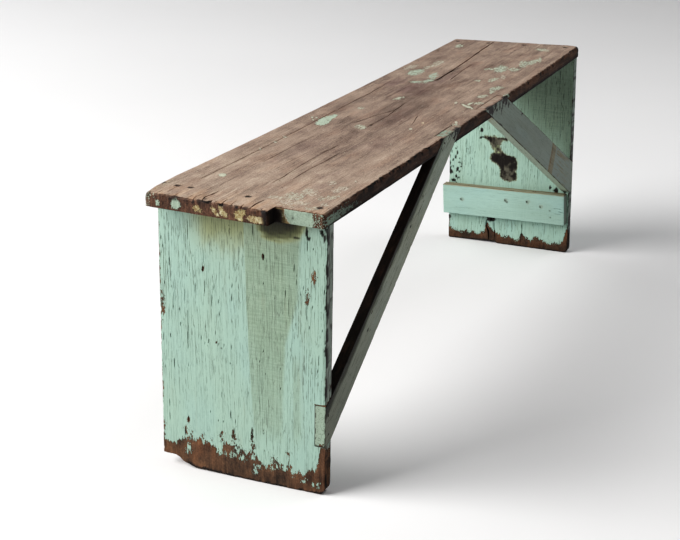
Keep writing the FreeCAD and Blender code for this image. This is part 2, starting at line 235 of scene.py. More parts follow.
class Board:
    """One board as a dense closed mesh. g, c and n are its grain, cross and thickness directions."""

    def __init__(self, name, bm, g, c, n):
        self.name, self.bm = name, bm
        self.g, self.c, self.n = [Vector(v).normalized() for v in (g, c, n)]
        self.cracks = []   # (side, Crack, places)

    def span(self, axis):
        d = [axis.dot(v.co) for v in self.bm.verts]
        return min(d), max(d)

    def mesh_up(self, along, across, through, cracks_front=(), cracks_back=(), back_coarse=None, fine=(0.4, 1.0, 1.9, 3.2, 5.0), extra_along=(), extra_across=()):
        """Cuts the solid into a fine mesh. Front is the +n side and back the -n side."""
        bm, g, c, n = self.bm, self.g, self.c, self.n
        s0, s1 = self.span(g)
        t0, t1 = self.span(c)
        w0, w1 = self.span(n)
        s_places = lines(s0, s1, along, fine, extra_along)
        slice_up(bm, g, s_places)
        bounds = np.array([s0] + s_places + [s1])
        for side, cracks in ((1, cracks_front), (-1, cracks_back)):
            if not cracks:
                continue
            strips = {}
            for f in bm.faces:
                if f.normal.dot(n) * side > 0.9:
                    k = int(np.searchsorted(bounds, g.dot(f.calc_center_median()))) - 1
                    strips.setdefault(k, []).append(f)
            for cr in cracks:
                cs, hs = cr.centre(bounds), cr.half(bounds)
                self.cracks.append((side, cr, bounds, cs, hs))
                for k in range(len(bounds) - 1):
                    if bounds[k + 1] <= cr.s0 or bounds[k] >= cr.s1 or k not in strips:
                        continue
                    for m in (-1, 0, 1):
                        a, b = cs[k] + m * hs[k], cs[k + 1] + m * hs[k + 1]
                        p0 = g * float(bounds[k]) + c * float(a)
                        p1 = g * float(bounds[k + 1]) + c * float(b)
                        no = (p1 - p0).cross(n)
                        fs = strips[k]
                        geom = list({v for f in fs for v in f.verts}) + list({e for f in fs for e in f.edges}) + fs
                        res = bmesh.ops.bisect_plane(bm, geom=geom, dist=0.02, plane_co=p0, plane_no=no)
                        strips[k] = [x for x in res["geom"] if isinstance(x, bmesh.types.BMFace)]
        slice_up(bm, n, lines(w0, w1, through, fine if w1 - w0 > 12 else fine[:4]))
        t_all = lines(t0, t1, across, fine, extra_across)
        if back_coarse:
            some = lines(t0, t1, back_coarse, fine)
            slice_up(bm, c, some)
            rest = [t for t in t_all if min(abs(t - q) for q in some) > 0.3]
            slice_up(bm, c, rest, [f for f in bm.faces if f.normal.dot(n) > -0.9])
        else:
            slice_up(bm, c, t_all)
        bm.normal_update()
        bm.verts.ensure_lookup_table()
        self.P = np.array([v.co[:] for v in bm.verts])
        self.O = self.P.copy()
        side = np.zeros(len(bm.verts))
        for f in bm.faces:
            d = f.normal.dot(n)
            if abs(d) > 0.9:
                for v in f.verts:
                    side[v.index] = 1 if d > 0 else -1
        self.side = side
        self.attr = {}

    # coordinates of the unrounded points
    def s(self, axis):
        return self.O @ np.array(axis)

    def roll(self, n1, d1, n2, d2, r, where=None):
        """Rounds the arris where the planes n1 . p = d1 and n2 . p = d2 meet, to radius r at each point."""
        n1, n2 = np.array(n1, float), np.array(n2, float)
        P = self.P
        a, b = d1 - P @ n1, d2 - P @ n2
        r = np.broadcast_to(np.maximum(r, 0.02), a.shape)
        m = (a < r) & (b < r) & (a > -0.3) & (b > -0.3)
        if where is not None:
            m &= where
        p, q = 1 - np.clip(a, 0, None) / r, 1 - np.clip(b, 0, None) / r
        p2, q2 = p * np.sqrt(np.clip(1 - q * q / 2, 0, 1)), q * np.sqrt(np.clip(1 - p * p / 2, 0, 1))
        k = m.astype(float)
        P += (k * (p2 - p) * r)[:, None] * n1 + (k * (q2 - q) * r)[:, None] * n2

    def open_cracks(self):
        dark = self.attr.setdefault("dark", np.zeros(len(self.P)))
        n = np.array(self.n)
        s, t = self.O @ np.array(self.g), self.O @ np.array(self.c)
        for side, cr, bounds, cs, hs in self.cracks:
            h = np.interp(s, bounds, hs)
            d = np.abs(t - np.interp(s, bounds, cs))
            live = (self.side == side) & (s > cr.s0) & (s < cr.s1) & (h > 0.02)
            v = np.where(live, np.clip(1 - d / np.maximum(h, 0.02), 0, 1), 0)
            depth = cr.d * np.clip(h / (0.5 * cr.w), 0, 1.2) * v
            self.P -= (side * depth)[:, None] * n
            dark[:] = np.maximum(dark, cr.dark * np.where(v > 0.35, 1, v / 0.35 * 0.6) * (v > 0))

    def normals(self):
        """Vertex normals of the present shape."""
        for v, p in zip(self.bm.verts, self.P):
            v.co = p
        self.bm.normal_update()
        return np.array([v.normal[:] for v in self.bm.verts])

    def finish(self, node, material):
        P = self.P.copy()
        P[:, 2] = warp_z(P[:, 0], P[:, 1], P[:, 2])
        P[:, 2] = np.maximum(P[:, 2], 0.0)
        for v, p in zip(self.bm.verts, P * 0.001):
            v.co = p
        bmesh.ops.triangulate(self.bm, faces=[f for f in self.bm.faces if len(f.verts) > 4])
        me = bpy.data.meshes.new(self.name)
        self.bm.to_mesh(me)
        self.bm.free()
        for key, vals in self.attr.items():
            at = me.attributes.new(key, "FLOAT", "POINT")
            at.data.foreach_set("value", np.asarray(vals, np.float32))
        me.polygons.foreach_set("use_smooth", [True] * len(me.polygons))
        me.set_sharp_from_angle(angle=math.radians(50))
        ob = bpy.data.objects.new(self.name, me)
        bpy.context.scene.collection.objects.link(ob)
        me.materials.append(material)
        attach(ob, "root")
        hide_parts(node)
        print(f"{self.name}: {len(me.vertices)} points, {len(me.polygons)} faces")
        return ob


# ------------------------------------------------------------------ material helper
def srgb(r, g, b):
    f = lambda v: (v / 255 / 12.92) if v / 255 <= 0.04045 else ((v / 255 + 0.055) / 1.055) ** 2.4
    return (f(r), f(g), f(b), 1.0)


class Nodes:
    """Short names for building a material's nodes. Lengths in its noise scales are millimetres."""

    def __init__(self, name):
        self.mat = bpy.data.materials.new(name)
        self.mat.use_nodes = True
        self.t = self.mat.node_tree
        self.t.nodes.clear()
        self.out = self.t.nodes.new("ShaderNodeOutputMaterial")
        self.bsdf = self.t.nodes.new("ShaderNodeBsdfPrincipled")
        self.t.links.new(self.bsdf.outputs[0], self.out.inputs[0])
        tc = self.t.nodes.new("ShaderNodeTexCoord")
        self.pos = self.vec("SCALE", tc.outputs["Object"], scale=1000.0)

    def link(self, value, socket):
        if isinstance(value, bpy.types.NodeSocket):
            self.t.links.new(value, socket)
        elif value is not None:
            socket.default_value = value

    def vec(self, op, a, b=None, scale=None):
        n = self.t.nodes.new("ShaderNodeVectorMath")
        n.operation = op
        self.link(a, n.inputs[0])
        if b is not None:
            self.link(b, n.inputs[1])
        if scale is not None:
            self.link(scale, n.inputs["Scale"])
        return n.outputs["Value"] if op in ("DOT_PRODUCT", "LENGTH", "DISTANCE") else n.outputs[0]

    def m(self, op, a, b=None, c=None, clamp=False):
        n = self.t.nodes.new("ShaderNodeMath")
        n.operation, n.use_clamp = op, clamp
        for v, s in zip((a, b, c), n.inputs):
            self.link(v, s)
        return n.outputs[0]

    def add(self, *v):
        out = v[0]
        for x in v[1:]:
            out = self.m("ADD", out, x)
        return out

    def mul(self, *v):
        out = v[0]
        for x in v[1:]:
            out = self.m("MULTIPLY", out, x)
        return out

    def step(self, e0, e1, v, lo=0.0, hi=1.0, kind="SMOOTHSTEP"):
        n = self.t.nodes.new("ShaderNodeMapRange")
        n.interpolation_type = kind
        for i, x in enumerate((v, e0, e1, lo, hi)):
            self.link(x, n.inputs[i])
        return n.outputs[0]

    def frame(self, g, c, n):
        """Coordinates along the grain, across it and through the board."""
        comb = self.t.nodes.new("ShaderNodeCombineXYZ")
        for i, a in enumerate((g, c, n)):
            self.link(self.vec("DOT_PRODUCT", self.pos, tuple(a)), comb.inputs[i])
        return comb.outputs[0]

    def noise(self, where, size, detail=2.0, rough=0.5, warp=0.0, offset=(0, 0, 0)):
        """Noise 0 to 1. size is the length in mm of one cell, along, across and through."""
        v = self.vec("MULTIPLY", where, tuple(1.0 / s for s in size))
        v = self.vec("ADD", v, tuple(float(o) for o in offset))
        n = self.t.nodes.new("ShaderNodeTexNoise")
        n.inputs["Scale"].default_value = 1.0
        n.inputs["Detail"].default_value = detail
        n.inputs["Roughness"].default_value = rough
        n.inputs["Distortion"].default_value = warp
        self.t.links.new(v, n.inputs["Vector"])
        return n.outputs[0]

    def hairline(self, where, size, half, detail=2.0, rough=0.5, offset=(0, 0, 0), level=0.5):
        """Thin lines of even width, half millimetres to each side, wandering along the grain."""
        a = self.noise(where, size, detail, rough, 0.0, offset)
        b = self.noise(self.vec("ADD", where, (0.0, 0.5, 0.0)), size, detail, rough, 0.0, offset)
        slope = self.m("MAXIMUM", self.m("ABSOLUTE", self.mul(self.m("SUBTRACT", b, a), 2.0)), 0.012)
        dist = self.m("DIVIDE", self.m("ABSOLUTE", self.m("SUBTRACT", a, level)), slope)
        return self.step(half * 1.5, half * 0.5, dist)

    def voronoi(self, where, size, feature="F1", offset=(0, 0, 0), rand=1.0):
        v = self.vec("MULTIPLY", where, tuple(1.0 / s for s in size))
        v = self.vec("ADD", v, tuple(float(o) for o in offset))
        n = self.t.nodes.new("ShaderNodeTexVoronoi")
        n.feature = feature
        n.inputs["Scale"].default_value = 1.0
        n.inputs["Randomness"].default_value = rand
        self.t.links.new(v, n.inputs["Vector"])
        return n.outputs["Distance"], n.outputs.get("Color")

    def attr(self, name):
        n = self.t.nodes.new("ShaderNodeAttribute")
        n.attribute_name = name
        return n.outputs["Fac"]

    def ramp(self, fac, stops, kind="LINEAR"):
        n = self.t.nodes.new("ShaderNodeValToRGB")
        e = n.color_ramp.elements
        n.color_ramp.interpolation = kind
        while len(e) < len(stops):
            e.new(0.5)
        for el, (p, col) in zip(e, stops):
            el.position, el.color = p, col
        self.link(fac, n.inputs[0])
        return n.outputs[0]

    def mix(self, fac, a, b, mode="MIX"):
        n = self.t.nodes.new("ShaderNodeMix")
        n.data_type, n.blend_type = "RGBA", mode
        n.clamp_factor = True
        self.link(fac, n.inputs[0])
        self.link(a, n.inputs[6])
        self.link(b, n.inputs[7])
        return n.outputs[2]

    def shade(self, col, fac):
        """col times a number."""
        return self.vec("SCALE", col, scale=fac)

    def bump(self, height, strength=1.0, distance=0.001, normal=None):
        n = self.t.nodes.new("ShaderNodeBump")
        n.inputs["Strength"].default_value = strength
        n.inputs["Distance"].default_value = distance
        self.link(height, n.inputs["Height"])
        if normal is not None:
            self.link(normal, n.inputs["Normal"])
        return n.outputs[0]

    def done(self, color, rough, normal, spec=0.3):
        self.link(color, self.bsdf.inputs["Base Color"])
        self.link(rough, self.bsdf.inputs["Roughness"])
        self.link(normal, self.bsdf.inputs["Normal"])
        self.bsdf.inputs["Specular IOR Level"].default_value = spec
        return self.mat


def bare_wood(k, w):
    """Brown bare wood for where paint has gone: colour and height."""
    a = k.noise(w, (60, 5.0, 5.0), 4, 0.6)
    b = k.noise(w, (14, 0.9, 0.9), 2, 0.55)
    c = k.noise(w, (26, 24, 24), 4, 0.55)
    d = k.noise(w, (3.0, 2.6, 2.6), 3, 0.55)
    t = k.add(k.mul(a, 0.30), k.mul(b, 0.20), k.mul(c, 0.55), k.mul(d, 0.35), -0.2)
    dull = k.ramp(t, [(0.24, srgb(28, 21, 17)), (0.40, srgb(56, 42, 32)), (0.56, srgb(88, 64, 47)), (0.78, srgb(130, 98, 72))])
    warm = k.ramp(t, [(0.24, srgb(50, 31, 20)), (0.40, srgb(90, 57, 37)), (0.56, srgb(116, 80, 55)), (0.78, srgb(154, 114, 84))])
    return k.mix(k.attr("warm"), dull, warm), k.add(k.mul(a, 0.4), k.mul(b, 0.35), k.mul(d, 0.5))


# ------------------------------------------------------------------ materials
def seat_material():
    k = Nodes("seat_weathered_wood")
    w = k.frame((1, 0, 0), (0, 1, 0), (0, 0, 1))
    paint, rag_mm, dark, edge, side, tone, warm = [k.attr(x) for x in ("paint", "rag", "dark", "edge", "side", "tone", "warm")]
    broad = k.noise(w, (220, 16, 30), 4, 0.55, 0.3)
    mid = k.noise(w, (80, 3.4, 8), 4, 0.62, 0.2)
    fine = k.noise(w, (22, 0.9, 1.2), 3, 0.6)
    blotch = k.noise(w, (60, 38, 45), 5, 0.58, 0.4)
    speck = k.noise(w, (3.4, 1.7, 1.7), 3, 0.6)
    t = k.add(k.mul(broad, 0.24), k.mul(mid, 0.30), k.mul(blotch, 0.50), k.mul(fine, 0.46), k.mul(speck, 0.60), -0.55, k.mul(tone, 0.13))
    top = k.ramp(t, [(0.24, srgb(88, 73, 65)), (0.38, srgb(117, 99, 88)), (0.50, srgb(141, 122, 109)),
                     (0.62, srgb(159, 139, 123)), (0.80, srgb(188, 170, 152))])
    pink = k.noise(w, (120, 30, 30), 3, 0.55, 0.0, (4, 9, 2))
    top = k.mix(k.step(0.48, 0.72, pink, 0.0, 0.24), top, k.mix(1.0, top, srgb(252, 218, 202), "MULTIPLY"))
    purple = k.m("MAXIMUM", k.attr("bruise"), k.mul(k.step(0.58, 0.72, k.noise(w, (50, 26, 20), 3, 0.55, 0.5, (14, 3, 6))), 0.35))
    top = k.mix(k.mul(purple, 0.8), top, k.shade(k.mix(1.0, top, srgb(240, 228, 240), "MULTIPLY"), 0.78))
    top = k.mix(warm, top, k.ramp(t, [(0.3, srgb(104, 70, 50)), (0.5, srgb(160, 118, 88)), (0.7, srgb(196, 156, 120))]))
    # dark grain lines, checks and pores
    patch = k.step(0.44, 0.60, k.noise(w, (150, 24, 20), 2, 0.5, 0.0, (2, 5, 8)))
    grain_line = k.mul(k.hairline(w, (170, 5.0, 8), 0.42, 3, 0.55, (7, 3, 1), 0.48), k.add(0.12, k.mul(patch, 0.88)))
    check = k.step(0.285, 0.215, k.noise(w, (42, 1.5, 3), 2, 0.5, 0.0, (1, 11, 4)))
    pore = k.step(0.31, 0.24, k.noise(w, (7, 1.3, 1.3), 2, 0.5, 0.0, (9, 1, 3)))
    top = k.shade(top, k.m("SUBTRACT", 1.0, k.add(k.mul(grain_line, 0.40), k.mul(check, 0.42), k.mul(pore, 0.28))))
    dots, cell = k.voronoi(w, (30, 15, 15), offset=(2, 7, 5))
    pale_dot = k.step(0.075, 0.045, dots)
    top = k.mix(k.mul(pale_dot, 0.7), top, srgb(196, 186, 166))
    dots2, cell2 = k.voronoi(w, (34, 17, 17), offset=(12, 3, 1))
    top = k.mix(k.mul(k.step(0.08, 0.045, dots2), 0.75), top, srgb(50, 36, 31))
    # edges and underside: raw dark wood, rougher
    raw_t = k.add(k.mul(mid, 0.6), k.mul(fine, 0.3), k.mul(blotch, 0.4), k.mul(speck, 0.3), -0.29)
    raw = k.ramp(raw_t, [(0.26, srgb(24, 14, 9)), (0.42, srgb(52, 34, 24)), (0.58, srgb(88, 61, 47)), (0.78, srgb(126, 97, 78))])
    col = k.mix(side, top, raw)
    worn = k.step(0.35, 0.9, k.add(edge, k.mul(fine, 0.5), -0.25))
    col = k.mix(k.mul(worn, 0.35), col, k.shade(col, 1.25))
    # paint left in flakes
    chip = k.noise(w, (6.5, 2.5, 2.5), 4, 0.66, 0.0, (3, 1, 2))
    d = k.add(paint, k.mul(k.m("SUBTRACT", chip, 0.5), k.mul(rag_mm, 5.0)))
    mask = k.step(-0.3, 0.4, d)
    hue = k.attr("hue")
    pcol = k.ramp(hue, [(0.0, srgb(148, 170, 153)), (0.15, srgb(172, 190, 170)), (0.32, srgb(186, 194, 172)), (0.5, srgb(200, 192, 174)),
                        (0.62, srgb(194, 178, 148)), (0.8, srgb(176, 162, 116)), (1.0, srgb(100, 82, 50))])
    mottle = k.noise(w, (4.4, 4.0, 4.0), 3, 0.6, 0.0, (8, 8, 8))
    yellow = k.step(0.6, 0.74, hue)
    pcol = k.mix(k.mul(yellow, k.step(0.50, 0.40, mottle), 0.75), pcol, srgb(134, 104, 70))
    pcol = k.mix(k.mul(yellow, k.step(0.56, 0.66, mottle), 0.75), pcol, srgb(222, 214, 180))
    pcol = k.mix(side, pcol, k.shade(pcol, 0.68))
    pcol = k.shade(pcol, k.add(0.52, k.mul(k.noise(w, (5, 2.6, 2.6), 3, 0.6), 0.75), k.mul(speck, 0.2)))
    thin = k.m("SUBTRACT", 1.0, k.mul(k.step(0.32, 0.42, hue), k.step(0.66, 0.56, hue), 0.22))
    rim = k.mul(k.step(1.5, 0.1, k.m("ABSOLUTE", k.add(d, 0.6))), k.m("SUBTRACT", 1.0, mask))
    col = k.shade(col, k.m("SUBTRACT", 1.0, k.mul(rim, 0.25)))
    col = k.mix(k.mul(mask, thin, k.step(0.0, 1.0, side, 0.88, 1.0)), col, pcol)
    col = k.mix(k.step(0.0, 1.0, dark), col, srgb(20, 13, 11))
    h = k.add(k.mul(fine, 0.35), k.mul(mid, 0.5), k.mul(speck, 0.18), k.mul(grain_line, -0.4), k.mul(check, -0.7), k.mul(pore, -0.35), k.mul(mask, 0.5))
    rough = k.add(0.62, k.mul(mid, 0.2), k.mul(mask, -0.05))
    return k.done(col, rough, k.bump(h, 0.8, 0.0008), 0.25)


def paint_material(name, g, c, n, mint=(146, 173, 159), crackle=0.9, alt=(134, 144, 134), tan=((120, 98, 62), (92, 66, 38)),
                   olive=((150, 166, 142), (141, 149, 113), (100, 104, 72), (56, 56, 37))):
    k = Nodes(name)
    w = k.frame(g, c, n)
    paint, rag_mm, dark, gray, zone, stain, brown, shade = [k.attr(x) for x in ("paint", "rag", "dark", "gray", "zone", "stain", "brown", "shade")]
    streak = k.noise(w, (150, 3.4, 3.4), 4, 0.62)
    fine = k.noise(w, (30, 0.9, 0.9), 3, 0.6)
    blotch = k.noise(w, (150, 70, 70), 3, 0.5)
    speck = k.noise(w, (2.4, 1.5, 1.5), 2, 0.5)
    r, gg, b = mint
    base = k.ramp(blotch, [(0.36, srgb(r + 1, gg, b - 1)), (0.5, srgb(r, gg, b)), (0.64, srgb(r - 1, gg, b + 2))])
    # thin rubbed paint, greener, with brush marks across; on the far leg this mix also carries the painted shadow of
    # the seat
    cross = k.noise(w, (1.9, 42, 42), 2, 0.5, 0.2, (5, 2, 1))
    sage = k.ramp(k.add(k.mul(streak, 0.3), k.mul(cross, 0.5), k.mul(speck, 0.2)), [(0.36, srgb(r - 30, gg - 37, b - 43)), (0.62, srgb(r - 10, gg - 18, b - 24))])
    col = k.mix(zone, base, sage)
    col = k.mix(k.step(0.0, 0.55, stain), col, k.ramp(k.add(stain, k.mul(fine, 0.10), -0.05), [(p, srgb(*o)) for p, o in zip((0.25, 0.5, 0.72, 1.0), olive)]))
    col = k.mix(gray, col, srgb(*alt))
    col = k.shade(col, k.add(0.83, k.mul(streak, 0.08), k.mul(fine, 0.12), k.mul(speck, 0.14)))
    wood_tint = k.mix(k.step(0.4, 0.65, streak), srgb(*tan[0]), srgb(*tan[1]))
    col = k.mix(k.mul(brown, k.step(0.3, 0.6, streak, 0.65, 1.0)), col, wood_tint)
    # crackle: long thin dark lines along the grain, and small flakes lost
    dens = k.step(0.40, 0.60, k.noise(w, (90, 40, 40), 2, 0.5, 0.0, (1, 7, 3)))
    dens2 = k.step(0.42, 0.60, k.noise(w, (40, 12, 12), 2, 0.5, 0.0, (2, 2, 9)))
    broken = k.step(0.40, 0.54, k.noise(w, (12, 3, 3), 2, 0.5, 0.0, (4, 2, 5)), 0.22, 1.0)
    c1 = k.mul(k.hairline(w, (100, 5.4, 5.4), 0.40, 2, 0.5, (3, 1, 7)), k.add(0.55, k.mul(dens, 0.45)), broken)
    c2 = k.mul(k.hairline(w, (44, 4.6, 4.6), 0.32, 2, 0.5, (9, 4, 2)), k.add(0.10, k.mul(dens2, 0.90)), broken)
    fleck = k.mul(k.step(0.262, 0.243, k.noise(w, (7.5, 1.9, 1.9), 2, 0.5, 0.0, (6, 6, 1))), k.add(0.45, k.mul(dens, 0.55)))
    tick = k.step(0.25, 0.205, k.noise(w, (5.0, 1.5, 1.5), 2, 0.5, 0.0, (1, 16, 1)))
    crack = k.m("MINIMUM", k.mul(k.add(k.mul(c1, 0.80), k.mul(c2, 0.34), k.mul(fleck, 0.9), k.mul(tick, 0.5)), crackle, k.m("SUBTRACT", 1.0, k.attr("calm"))), 1.0)
    col = k.mix(crack, col, srgb(52, 56, 47))
    # bare wood
    wood, wood_h = bare_wood(k, w)
    chip = k.noise(w, (6.0, 2.2, 2.2), 4, 0.62, 0.0, (3, 8, 2))
    d = k.add(paint, k.mul(k.m("SUBTRACT", chip, 0.5), k.mul(rag_mm, 2.0)))
    mask = k.step(-0.2, 0.3, d)
    lip = k.mul(k.step(1.6, 0.1, k.m("ABSOLUTE", k.add(d, 0.5))), k.m("SUBTRACT", 1.0, mask))
    wood = k.shade(wood, k.m("SUBTRACT", 1.0, k.mul(lip, 0.5)))
    wood = k.mix(shade, wood, k.shade(wood, 0.36))
    wood = k.mix(k.attr("ash"), wood, k.shade(k.mix(0.8, wood, srgb(98, 97, 85)), 0.95))
    col = k.mix(mask, wood, col)
    col = k.mix(k.step(0.0, 1.0, dark), col, srgb(22, 17, 14))
    h = k.add(k.mul(mask, 0.9), k.mul(crack, -0.55), k.mul(fine, 0.12), k.mul(streak, 0.07), k.mul(speck, 0.06),
              k.mul(k.m("SUBTRACT", 1.0, mask), k.mul(wood_h, 0.8)))
    rough = k.add(0.45, k.mul(k.m("SUBTRACT", 1.0, mask), 0.28), k.mul(streak, 0.15), k.mul(crack, 0.2))
    return k.done(col, rough, k.bump(h, 0.85, 0.0007), 0.3)


def nail_material(name="nail_rusted_iron", painted=0.0):
    k = Nodes(name)
    a = k.noise(k.pos, (1.4, 1.4, 1.4), 4, 0.6)
    b = k.noise(k.pos, (5, 5, 5), 2, 0.5, 0.0, (3, 3, 3))
    col = k.ramp(k.add(k.mul(a, 0.7), k.mul(b, 0.4), -0.05), [(0.3, srgb(22, 17, 15)), (0.5, srgb(44, 31, 25)), (0.7, srgb(84, 50, 33)), (0.85, srgb(120, 74, 46))])
    if painted:
        col = k.mix(k.step(0.62 - painted * 0.3, 0.70 - painted * 0.3, k.add(k.mul(a, 0.6), k.mul(b, 0.4))), col, srgb(128, 150, 136))
    k.bsdf.inputs["Metallic"].default_value = 0.25
    return k.done(col, k.step(0.2, 0.8, a, 0.55, 0.9), k.bump(a, 0.6, 0.0004), 0.4)


# ------------------------------------------------------------------ places of nails, shared by boards and nails
SEAT_NEAR_NAILS = [(-618.0, 111.0), (-618.0, 89.5), (-619.0, -6.0), (-620.5, -121.0)]
SEAT_FAR_NAILS = [(645.5, 128.0), (645.0, 57.5), (646.0, -24.0), (645.5, -114.5)]
CLEAT_NAILS = [(96.5, 101.5), (-6.5, 111.0), (-57.0, 113.0), (-87.0, 105.5)]

print("frame loaded")

# near_brace and far_brace lines, x measured in the part's frame
X0 = 671.0
NB = [(38.5, 80.5), (59.5, 86.5), (100.0, 115.33), (595.4, 456.5), (505.9, 456.5), (100.0, 186.04), (59.5, 160.0), (38.5, 149.5)]
NB = [(x - X0, z) for x, z in NB]
FB = [(841.4 - X0, 456.5), (720.5 - X0, 456.5), (1304.0 - X0, 141.5), (1327.0 - X0, 138.5), (1327.0 - X0, 203.0)]


def near_front(p):
    return FRONT + LEAN * (1 - p[1] / 434.0)


def far_front(p):
    return FRONT - LEAN * (1 - p[1] / 434.0)


def brace_cutter(poly, front, grow=0.2):
    cx = sum(p[0] for p in poly) / len(poly)
    cz = sum(p[1] for p in poly) / len(poly)
    big = []
    n = len(poly)
    for i in range(n):
        a, b, c = poly[i - 1], poly[i], poly[(i + 1) % n]
        e1 = Vector((b[0] - a[0], b[1] - a[1])).normalized()
        e2 = Vector((c[0] - b[0], c[1] - b[1])).normalized()
        n1, n2 = Vector((e1.y, -e1.x)), Vector((e2.y, -e2.x))
        m = (n1 + n2)
        m = m / max(m.dot(n1), 0.3)
        if (Vector(b) + m - Vector((cx, cz))).length < (Vector(b) - Vector((cx, cz))).length:
            m = -m
        big.append((b[0] + m.x * grow, b[1] + m.y * grow))
    # run past the seat's top so that the notch is open upwards
    return prism(big, 1, lambda p: front(p) - 30.0, lambda p: front(p) + 18.0 + grow)


def stretch_up(poly, up=8.0):
    """The same outline with its level top edge moved up along its own sides."""
    z = max(p[1] for p in poly)
    tops = [i for i, p in enumerate(poly) if p[1] > z - 1e-6]
    n = len(poly)
    out = list(poly)
    for i in tops:
        j = (i - 1) % n if (i - 1) % n not in tops else (i + 1) % n
        a, b = poly[j], poly[i]
        k = up / (b[1] - a[1])
        out[i] = (b[0] + (b[0] - a[0]) * k, b[1] + up)
    return out


def notch(poly, front):
    return brace_cutter(stretch_up(poly), front)


